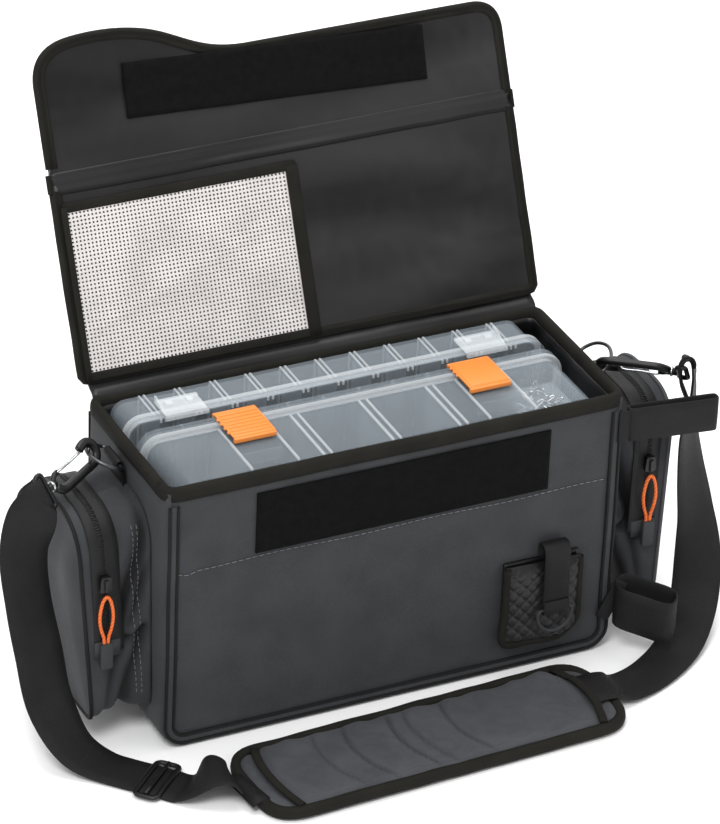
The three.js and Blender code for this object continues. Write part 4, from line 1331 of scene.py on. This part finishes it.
def make_pad():
    """The padded shoulder piece: a crowned, wrinkled cushion with a bound edge, and a band at each end."""
    outline = pad_outline(PAD_HALF_LENGTH, PAD_HALF_WIDTH, 26)
    points, faces, rings = [], [], []
    for height, size in ((1.2, 0.9), (1.0, 1.0), (9.0, 1.0), (10.2, 0.9)):
        rings.append([len(points) + k for k in range(len(outline))])
        points += [pad_place(p.x * size, p.y * size, height) for p in outline]
    for a, b in zip(rings, rings[1:]):
        faces += band_faces(a, b)
    faces += [tuple(reversed(rings[0])), tuple(rings[-1])]
    pad = tidy_mesh(cloth_object("shoulder_pad_cushion", points, faces))
    settle(pad, 3.0, 2.0)
    shape_cushion(pad)
    dress(pad, "bag", pad_cloth_painted_lighter, "shell_fabric", "shoulder_pad")

    up = Vector((0, 0, 1))
    edge_route = [
        pad_place(p.x, p.y, 5.6 + 0.9 * ripple(p.x, p.y, 0, 30, 64))
        for p in pad_outline(PAD_HALF_LENGTH + 2, PAD_HALF_WIDTH + 2, 29)
    ]
    section = [(-4.4, -3.6), (-4.8, 0), (-4.2, 3.8), (0, 4.6), (2.6, 3.4), (3.2, 0), (2.6, -3.2), (0, -4.2)]
    tape = sweep("shoulder_pad_edge", stations(edge_route, up, closed=True), section, closed=True)
    dress(tape, "bag", grosgrain, "binding_tape", "shoulder_pad_binding")
    for label, sign in (("left", -1), ("right", 1)):
        # The right band stands 1.5 mm higher in its middle, where the strap's end passes under it.
        route = [
            pad_place(
                sign * (BAND_AT - band_bow(y)), y,
                12.0 - 0.0014 * y * y + (1.5 if sign > 0 and abs(y) < 21 else 0),
            )
            for y in range(-40, 41, 4)
        ]
        band = sweep(f"shoulder_pad_{label}_band", stations(route, up), flat(6.5, 1.6, 0.5))
        dress(band, "bag", grosgrain, "binding_tape")
    reach = [pad_place(-x, y, z) for x, y, z in ((150, -3, 9.4), (156, -4, 9.2), (163, -4.5, 6.5))]
    tongue = sweep("shoulder_pad_left_tongue", stations(reach, up), flat(38, 1.8, 0.1))
    dress(tongue, "bag", webbing_cloth, "webbing")


make_pad()


# ---------------------------------------------------------------- lid and flap
LEAN = math.radians(24.2)
LID_AXIS = Vector((0, 65, 231))
FOLD = 163.0
FOLD_DEPTH = 10.4


def lid_place(x, depth, up):
    """A point on the open lid: depth is square to the lid, up runs from the hinge towards the flap."""
    return LID_AXIS + Vector((
        x,
        depth * math.cos(LEAN) + up * math.sin(LEAN),
        up * math.cos(LEAN) - depth * math.sin(LEAN),
    ))


def flap_place(x, depth, up):
    """A point on the flap, which carries on from the lid past the fold."""
    return lid_place(x, FOLD_DEPTH + depth, FOLD + up)


LID_FACE = lid_place(0, 1, 0) - lid_place(0, 0, 0)


def curve_2d(points, steps=10):
    """A straight, curved or double-curved run through two, three or four control points."""
    made = []
    for k in range(1, steps + 1):
        work = [Vector(p) for p in points]
        while len(work) > 1:
            work = [a.lerp(b, k / steps) for a, b in zip(work, work[1:])]
        made.append(work[0])
    return made


def flap_edge(inset):
    """The flap's outline (x, up) from its lower left corner, over the lobe, to its lower right corner."""
    side, top, lobe = 195 - inset, 80 - inset, 110 - inset
    made = [Vector((-side, 3.0)), *curve_2d([(-side, 3.0), (-side, lobe - 34)], 8)]
    made += curve_2d([(-side, lobe - 34), (-side, lobe - 5), (-side + 32, lobe - 2)], 12)
    made += curve_2d([(-side + 32, lobe - 2), (-130, lobe + 1), (-104, lobe - 5)], 10)
    made += curve_2d([(-104, lobe - 5), (-74, lobe - 12), (-62, top + 1), (-22, top)], 16)
    made += curve_2d([(-22, top), (side - 22, top)], 26)
    made += curve_2d([(side - 22, top), (side, top), (side, top - 22)], 12)
    return made + curve_2d([(side, top - 22), (side, 3.0)], 8)


def flap_top(x, outline):
    """Height of the flap's upper edge at x."""
    best = 0.0
    for a, b in zip(outline, outline[1:]):
        if min(a.x, b.x) - 1e-6 <= x <= max(a.x, b.x) + 1e-6:
            share = 0.0 if abs(b.x - a.x) < 1e-6 else (x - a.x) / (b.x - a.x)
            best = max(best, a.y + (b.y - a.y) * share)
    return best


def satin_ripple(x, up, seed):
    """The lining's slack: long diagonal ripples, finer beside the seams."""
    long_wave = ripple(x * 0.8 + up * 0.5, up * 1.6, 0, 46, seed)
    short = ripple(x * 1.5, up, 0, 15, seed + 3)
    return 2.0 * long_wave + 0.7 * short


def make_lid():
    """The lid: black lining inside, pack cloth outside, tape folded round its three outer edges."""
    half, low, high = 190.5, 12.0, 157.5
    columns = spread(-half, half, 96)

    def inner(x, up):
        edge = min(half - abs(x), up - low, high - up)
        rise = 9.7 + 0.9 * math.exp(-max(edge, 0) / 6) - 0.75
        return rise - 0.55 * satin_ripple(x, up, 71) * min(1.0, edge / 14)

    def outer(x, up):
        edge = min(half - abs(x), up - low)
        return 16.2 + 0.5 * ripple(x, up, 0, 60, 74) - 0.8 * math.exp(-edge / 6)

    lining = panel(
        "lid_lining", columns, lambda x: low, lambda x: high, 48, inner, lambda x, up: 13.0, lid_place,
    )
    dress(lining, "lid", taffeta, "lining_fabric", "lid_panel")
    cover = panel(
        "lid_cover", columns, lambda x: low, lambda x: high, 40, lambda x, up: 12.9, outer, lid_place,
    )
    dress(cover, "lid", pack_cloth, "shell_fabric")

    roll = [lid_place(x, 9.4, 156.2 + 0.5 * ripple(x, 0, 0, 40, 77)) for x in range(-188, 189, 4)]
    cord = sweep("lid_fold_roll", stations(roll, LID_FACE), circle(1.3, 10, 1.5))
    dress(cord, "lid", piping_cloth, "lining_fabric")
    route = [(192, 157.5)] + [(192 + 0.4 * ripple(0, z, 0, 30, 75), z) for z in range(150, 18, -6)]
    route += [(191.8, 16), (189, 12.2), (184, 11.0)]
    route += [(x, 11 + 0.5 * ripple(x, 0, 0, 60, 76)) for x in range(174, -175, -8)]
    route += [(-184, 11.0), (-189, 12.2), (-191.8, 16)]
    route += [(-192 + 0.4 * ripple(0, z, 9, 30, 75), z) for z in range(24, 151, 6)] + [(-192, 157.5)]
    path = [lid_place(x, 12.9, z) for x, z in route]
    tape = sweep("lid_edge_tape", stations(path, LID_FACE), folded_tape(6.5, 8.6, 2.4))
    dress(tape, "lid", grosgrain, "binding_tape", "lid_binding")


def make_flap():
    """The front flap: the same make as the lid, with a taller lobe on its left."""
    outline = flap_edge(3.0)
    columns = spread(-191.9, 191.9, 120, ends=True)

    def top(x):
        return flap_top(x, outline)

    def inner(x, up):
        edge = min(192 - abs(x), top(x) - up)
        return -0.9 + 0.9 * math.exp(-max(edge, 0) / 6) - 0.5 * satin_ripple(x, up, 81) * min(1.0, edge / 14)

    lining = panel("flap_lining", columns, lambda x: 5.0, top, 36, inner, lambda x, up: 2.0, flap_place)
    dress(lining, "flap", taffeta, "lining_fabric", "flap_panel")
    cover = panel(
        "flap_cover", columns, lambda x: 5.0, top, 30, lambda x, up: 1.9,
        lambda x, up: 4.8 + 0.4 * ripple(x, up, 0, 50, 84), flap_place,
    )
    dress(cover, "flap", pack_cloth, "shell_fabric")
    route = [
        flap_place(p.x, 2.0 + 0.3 * ripple(p.x, p.y, 0, 40, 85), max(p.y, 5.0)) for p in flap_edge(3.2)[1:]
    ]
    tape = sweep("flap_edge_tape", stations(route, LID_FACE), folded_tape(6.0, 7.6, 2.6))
    dress(tape, "flap", grosgrain, "binding_tape", "flap_binding")
    turn = math.radians(2.7)

    def tape_place(x, depth, z):
        c, s = math.cos(turn), math.sin(turn)
        return flap_place(x * c + z * s, -2.0 - depth, 54 - x * s + z * c)

    make_tape_pad(
        "flap_hook_tape_pile", "flap_hook_tape", "flap", tape_place, (-124.5, 124.5), (-21, 21), (2.3, 0.0),
    )


def make_folds():
    """The cloth and tapes that join lid to flap."""
    def crease(x, up):
        return 9.6 + 0.9 * math.cos(2 * math.pi * (up - FOLD) / 12.0) + 0.2 * ripple(x, up, 0, 25, 91)

    fold = panel(
        "flap_fold_cloth", spread(-192.5, 192.5, 80), lambda x: 154.5, lambda x: FOLD + 8.5, 14,
        crease, lambda x, up: 14.2, lid_place,
    )
    dress(fold, None, taffeta, "lining_fabric", "lid_crease_band")
    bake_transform(fold)
    for label, x in (("left", -193.6), ("right", 193.6)):
        route = [lid_place(x, 12.2, FOLD + d) for d in (-7, -4, -1.5, 0, 1.5, 4, 7)]
        strip = sweep(f"{label}_fold_tape", stations(route, Vector((1, 0, 0))), flat(7.2, 2.4, 0.6))
        dress(strip, None, grosgrain, "binding_tape")
        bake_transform(strip)


def make_hinge_cloth():
    """The cloth that joins the back wall to the lid, and bends where the lid turns."""
    rows = smooth_route([Vector((0, y, z)) for y, z in (
        (70.5, 225.5), (71.6, 229.4), (74.2, 231.6), (77.2, 232.8), (80.0, 234.4), (81.2, 237.2),
    )], 16)
    xs = spread(-187, 187, 70)
    points, marks = [], []
    for layer in (0.9, -0.9):
        for i, p in enumerate(rows):
            tangent = tangent_at(rows, i)
            normal = Vector((0, -tangent.z, tangent.y))
            for x in xs:
                q = p + normal * (layer + 0.35 * ripple(x, p.y, p.z, 20, 95))
                points.append(Vector((x, q.y, q.z)))
                marks.append((x, i * 1.2))
    hinge = tidy_mesh(cloth_object("lid_hinge_cloth", points, two_layers(len(rows), len(xs)), marks))
    dress(hinge, None, taffeta, "lining_fabric", "lid_hinge_strip")
    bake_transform(hinge)


def make_mesh_pocket():
    """The white mesh pocket on the lid: open squares between coated strands, bound on four sides."""
    x0, x1, z0, z1 = -185.0, -2.0, 18.0, 141.0
    pitch = 3.1
    columns, rows = round((x1 - x0) / pitch), round((z1 - z0) / pitch)
    dx, dz = (x1 - x0) / columns, (z1 - z0) / rows
    points, faces = [], []

    def depth(x, z):
        fold = 0.7 * math.exp(-((z - 80 - 0.35 * (x + 90)) / 3.5) ** 2)
        return 7.9 - 0.5 * ripple(x, z, 0, 42, 101) - fold

    grid = {}
    for i in range(columns + 1):
        for j in range(rows + 1):
            x = x0 + i * dx + 0.35 * ripple(i, j, 0, 9, 102)
            z = z0 + j * dz + 0.35 * ripple(i, j, 5, 9, 103)
            grid[i, j] = len(points)
            points.append(lid_place(x, depth(x, z) + (0.2 if (i + j) % 2 else -0.2), z))
    for i in range(columns):
        for j in range(rows):
            outer = [grid[i, j], grid[i + 1, j], grid[i + 1, j + 1], grid[i, j + 1]]
            middle = sum((points[k] for k in outer), Vector()) / 4
            inner = []
            for k in outer:
                inner.append(len(points))
                points.append(middle + (points[k] - middle) * 0.49)
            for a in range(4):
                b = (a + 1) % 4
                faces.append((outer[a], outer[b], inner[b], inner[a]))
    piece = cloth_object("mesh_pocket_sheet", points, faces)
    modify(piece, "SOLIDIFY", thickness=0.5 * MM, offset=0)
    tidy_mesh(piece, smooth_angle=50)
    dress(piece, "lid", coated_mesh, "pvc_mesh", "mesh_pocket")

    for label, part, width in (
        ("bottom", [(x, 15.2) for x in range(-188, 6, 6)], 7.0),
        ("right", [(0.5, z) for z in range(13, 150, 6)], 10.5),
        ("top", [(x, 144.2) for x in range(-188, 6, 6)], 7.5),
        ("left", [(-187, z) for z in range(13, 149, 6)], 5.0),
    ):
        lift = 0.5 if label in ("right", "left") else 0.0
        path = [lid_place(x, 7.6 - lift + 0.2 * ripple(x, z, 0, 30, 105), z) for x, z in part]
        tape = sweep(f"mesh_pocket_{label}_tape", stations(path, LID_FACE), flat(width, 1.5, 0.3))
        dress(tape, "lid", grosgrain, "binding_tape", *(["mesh_pocket_binding"] if label == "right" else []))


make_lid()
make_flap()
make_folds()
make_hinge_cloth()
make_mesh_pocket()


# ---------------------------------------------------------------- tackle boxes
BOX_LOW, BOX_HIGH, SHELF_TOP = 8.6, 230.0, 204.4


def choose(piece, kind, test):
    """In edit mode, selects only the edges or faces that pass a test."""
    shape = bmesh.from_edit_mesh(piece.data)
    for group in (shape.verts, shape.edges, shape.faces):
        for element in group:
            element.select = False
    for element in getattr(shape, kind):
        if test(element):
            element.select = True
    shape.select_flush_mode()
    bmesh.update_edit_mesh(piece.data)


def block(name, low, high):
    """A cube primitive stretched between two corners, ready for shaping."""
    bpy.ops.object.select_all(action="DESELECT")
    low, high = Vector(low), Vector(high)
    bpy.ops.mesh.primitive_cube_add(size=1, location=(low + high) / 2 * MM, scale=(high - low) * MM)
    piece = bpy.context.object
    piece.name = name
    bpy.ops.object.transform_apply(location=True, rotation=True, scale=True)
    return piece


def thin_box(name, low, high, radius, wall, open_sides, soft=0.8):
    """A moulded thin wall with rounded corners seen from the front, open at some of its y faces."""
    piece = block(name, low, high)
    bpy.ops.object.mode_set(mode="EDIT")
    bpy.ops.mesh.select_mode(type="EDGE")
    choose(piece, "edges", lambda e: abs(e.verts[0].co.y - e.verts[1].co.y) > 1e-6)
    bpy.ops.mesh.bevel(offset=radius * MM, segments=8, affect="EDGES")
    bpy.ops.mesh.select_mode(type="FACE")
    choose(piece, "faces", lambda f: any(f.normal.y * s > 0.9 for s in open_sides))
    bpy.ops.mesh.delete(type="ONLY_FACE")
    bpy.ops.object.mode_set(mode="OBJECT")
    modify(piece, "SOLIDIFY", thickness=wall * MM, offset=-1, use_even_offset=True)
    soften(piece, soft)
    return tidy_mesh(piece, smooth_angle=40)


def bar(low, high, soft=0.5, segments=2):
    """A moulded rib or plate with softened edges."""
    piece = block("bar", low, high)
    soften(piece, soft, segments)
    return tidy_mesh(piece, smooth_angle=40)


def rib(x, half, ys, zs, soft, segments=2):
    """A moulded rib, wall or plate that stands this far to each side of x."""
    return bar((x - half, ys[0], zs[0]), (x + half, ys[1], zs[1]), soft, segments)


def join(name, parts):
    """Makes one piece of several."""
    bpy.ops.object.select_all(action="DESELECT")
    for part in parts:
        part.select_set(True)
    bpy.context.view_layer.objects.active = parts[0]
    bpy.ops.object.join()
    parts[0].name = name
    return parts[0]


def make_case(box, x0, x1, shell, flange, cover, open_side):
    """A box's thin shell, thick flange and thin cover, each given by where it starts and ends in y."""
    z0, z1 = BOX_LOW, BOX_HIGH
    tub = thin_box(
        f"{box}_shell", (x0 + 4, shell[0], z0 + 4), (x1 - 4, shell[1], z1 - 4), 12, 1.8, (open_side,),
    )
    dress(tub, box, clear_pp, "clear_plastic", f"{box}_tub")
    rim = thin_box(f"{box}_flange", (x0, flange[0], z0), (x1, flange[1], z1), 16, 5.0, (1, -1), 1.2)
    dress(rim, box, clear_pp_thick, "clear_plastic")
    lid = thin_box(f"{box}_cover", (x0, cover[0], z0), (x1, cover[1], z1), 16, 1.9, (-open_side,), 1.0)
    dress(lid, box, clear_pp, "clear_plastic", f"{box}_lid")


def make_front_box():
    """The deeper box: single and double ribs, cells in three rows, and its lid towards the back."""
    x0, x1 = -179.0, 173.0
    make_case("front_box", x0, x1, (-65, 2), (-3.7, 2.0), (2.3, 9), 1)
    ribs = []
    for x in (-117, -79, 80, 119):
        ribs.append(rib(x, 0.9, (-64.6, -4), (225.4, 227.6), 0.7, 3))
        ribs.append(rib(x, 0.9, (-65.7, -63.4), (150, 226.9), 0.7, 3))
    for middle in (-55, 2, 58):
        for x in (middle - 3.2, middle + 3.2):
            ribs.append(rib(x, 0.9, (-64.4, -4), (224.6, 226.7), 0.7))
            ribs.append(rib(x, 0.7, (-65.5, -63.6), (40, 226.3), 0.6))
    dress(join("front_box_ribs", ribs), "front_box", clear_pp_thick, "clear_plastic")
    deep = (-62.8, -1)
    walls = [rib(x, 0.8, deep, (14.6, 223.8), 0.3, 1) for x in (-117, -55, 2, 58, 119)]
    walls += [bar((x0 + 6.4, deep[0], z), (x1 - 6.4, deep[1], z + 1.6), 0.3, 1) for z in (80, 150)]
    walls.append(bar((119.8, deep[0], SHELF_TOP - 1.4), (x1 - 6.4, deep[1], SHELF_TOP), 0.3, 1))
    dress(join("front_box_dividers", walls), "front_box", clear_pp, "clear_plastic")
    steps = [rib(x, half, (-40, -38.6), (214, 224), 0.4) for x, half in ((-98, 17.4), (99.5, 17.9))]
    dress(join("front_box_latch_steps", steps), "front_box", clear_pp, "clear_plastic")


def make_rear_box():
    """The shallow box: twelve cells with double ribs between them, and its lid towards the front."""
    x0, x1, cells = -180.0, 172.0, 12
    make_case("rear_box", x0, x1, (28.2, 64), (28.0, 33.7), (21, 27.7), -1)
    cell = (x1 - x0) / cells
    ribs, walls = [], []
    for k in range(1, cells):
        middle = x0 + cell * k
        for x in (middle - 2.0, middle + 2.0):
            ribs.append(rib(x, 0.7, (33.6, 63.6), (225.2, 226.8), 0.5))
            ribs.append(rib(x, 0.8, (20.4, 22.6), (226.4, 229.6), 0.6))
            ribs.append(rib(x, 0.6, (63.0, 64.4), (40, 226.2), 0.4))
        walls.append(rib(middle, 0.7, (29.5, 61.8), (14.6, 223.8), 0.3, 1))
    dress(join("rear_box_ribs", ribs), "rear_box", clear_pp_thick, "clear_plastic")
    dress(join("rear_box_dividers", walls), "rear_box", clear_pp, "clear_plastic")
    digits = [raised_number(k + 1, x0 + cell * (k + 0.5)) for k in range(cells)]
    dress(join("rear_box_cell_numbers", digits), "rear_box", clear_pp_thick, "clear_plastic")


def raised_number(number, x):
    """A cell's number, raised on the rear box's lid just under its edge."""
    bpy.ops.object.select_all(action="DESELECT")
    bpy.ops.object.text_add(location=(0, 0, 0), rotation=(math.pi / 2, 0, 0))
    text = bpy.context.object
    text.data.body = str(number)
    text.data.size = 8.5 * MM
    text.data.extrude = 0.15 * MM
    text.data.align_x = "CENTER"
    text.location = Vector((x, 20.85, 215.5)) * MM
    bpy.ops.object.convert(target="MESH")
    bpy.ops.object.transform_apply(location=True, rotation=True, scale=True)
    return bpy.context.object


def hinge_barrel(x, y, length):
    """The round bar that a latch turns on."""
    bpy.ops.object.select_all(action="DESELECT")
    bpy.ops.mesh.primitive_cylinder_add(
        vertices=20, radius=1.7 * MM, depth=length * MM, location=Vector((x, y, BOX_HIGH - 0.2)) * MM,
        rotation=(0, math.pi / 2, 0),
    )
    piece = bpy.context.object
    bpy.ops.object.transform_apply(location=True, rotation=True, scale=True)
    soften(piece, 0.3)
    return tidy_mesh(piece, smooth_angle=40)


def latch_fin(x):
    """A latch's upright fin, with its front upper corner pushed back into a slope."""
    fin = block("fin", (x - 0.8, 23.0, 232.0), (x + 0.8, 43.0, 237.2))
    bpy.ops.object.mode_set(mode="EDIT")
    bpy.ops.mesh.select_mode(type="VERT")
    choose(fin, "verts", lambda v: v.co.z > 0.2345 and v.co.y < 0.03)
    bpy.ops.transform.translate(value=(0, 17.5 * MM, 0))
    bpy.ops.object.mode_set(mode="OBJECT")
    soften(fin, 0.35)
    return tidy_mesh(fin, smooth_angle=40)


def make_orange_latch(side, x):
    """A latch of the front box: a plate and its lip, ribbed on the left and with one grip on the right."""
    parts = [
        rib(x, 17.3, (-27.5, 9.6), (230.4, 232.4), 0.9, 3),
        rib(x, 17.3, (-29.6, -26.2), (227.4, 231.6), 1.0, 3),
        hinge_barrel(x, 11.1, 34.4),
    ]
    if side == "left":
        for y in (-23.5 + k * 4.6 for k in range(7)):
            parts.append(rib(x, 15.6, (y - 0.9, y + 0.9), (231.9, 233.1), 0.55, 3))
        notches = [(-20 + k * 6.5, -17.4 + k * 6.5) for k in range(4)]
    else:
        parts.append(rib(x, 15.8, (-26.5, 8.0), (231.8, 232.9), 0.55, 3))
        notches = [(-8 + k * 5.5, -5.6 + k * 5.5) for k in range(3)]
    parts += [rib(x - 17.7, 0.9, ys, (230.6, 232.2), 0.5) for ys in notches]
    dress(join(f"front_box_{side}_orange_latch", parts), f"front_box_{side}_latch_body", orange_pp,
          "latch_plastic", f"front_box_{side}_latch")


def make_clear_latch(side, x, fin_x):
    """A latch of the rear box: a clear plate with a thick edge, two hooks and an upright fin."""
    parts = [
        rib(x, 17.4, (20.5, 42.8), (230.5, 232.2), 0.7, 3),
        rib(x, 17.4, (38.6, 43.0), (231.2, 233.4), 0.8, 3),
        rib(x - 8, 3, (33.5, 39.4), (231.6, 233.6), 0.7, 3),
        rib(x + 9, 3, (33.5, 39.4), (231.6, 233.6), 0.7, 3),
        hinge_barrel(x, 18.9, 34.6),
        latch_fin(fin_x),
    ]
    dress(join(f"rear_box_{side}_clear_latch", parts), f"rear_box_{side}_latch_body", clear_pp_thick,
          "clear_plastic", f"rear_box_{side}_latch")


def make_small_tackle():
    """A few bright wire snaps lying on the shelf of the front box's right-hand cell."""
    parts = []
    for _ in range(26):
        x, y = draw.uniform(124, 158), draw.uniform(-50, -12)
        z = SHELF_TOP + 0.5 + draw.uniform(0.2, 5.0)
        turn, lean = draw.uniform(0, math.pi), draw.uniform(-0.3, 0.3)
        length = draw.uniform(6, 11)
        u = Vector((math.cos(turn), math.sin(turn), lean)).normalized()
        v = Vector((-u.y, u.x, 0)).normalized()
        p = Vector((x, y, z))
        bend = [p, p + u * length * 0.5, p + u * length + v * 0.6, p + u * (length + 1.4) + v * 2.0,
                p + u * length + v * 3.4, p + u * length * 0.6 + v * 3.2]
        steps = stations(smooth_route(bend, 12), Vector((0, 0, 1)))
        parts.append(sweep("snap", steps, circle(0.65, 6)))
    dress(join("small_wire_snaps", parts), "front_box", nickel, "steel_wire")


make_front_box()
make_rear_box()
make_orange_latch("left", -98.0)
make_orange_latch("right", 98.0)
make_clear_latch("left", -132.0, -148.6)
make_clear_latch("right", 119.0, 135.6)
make_small_tackle()
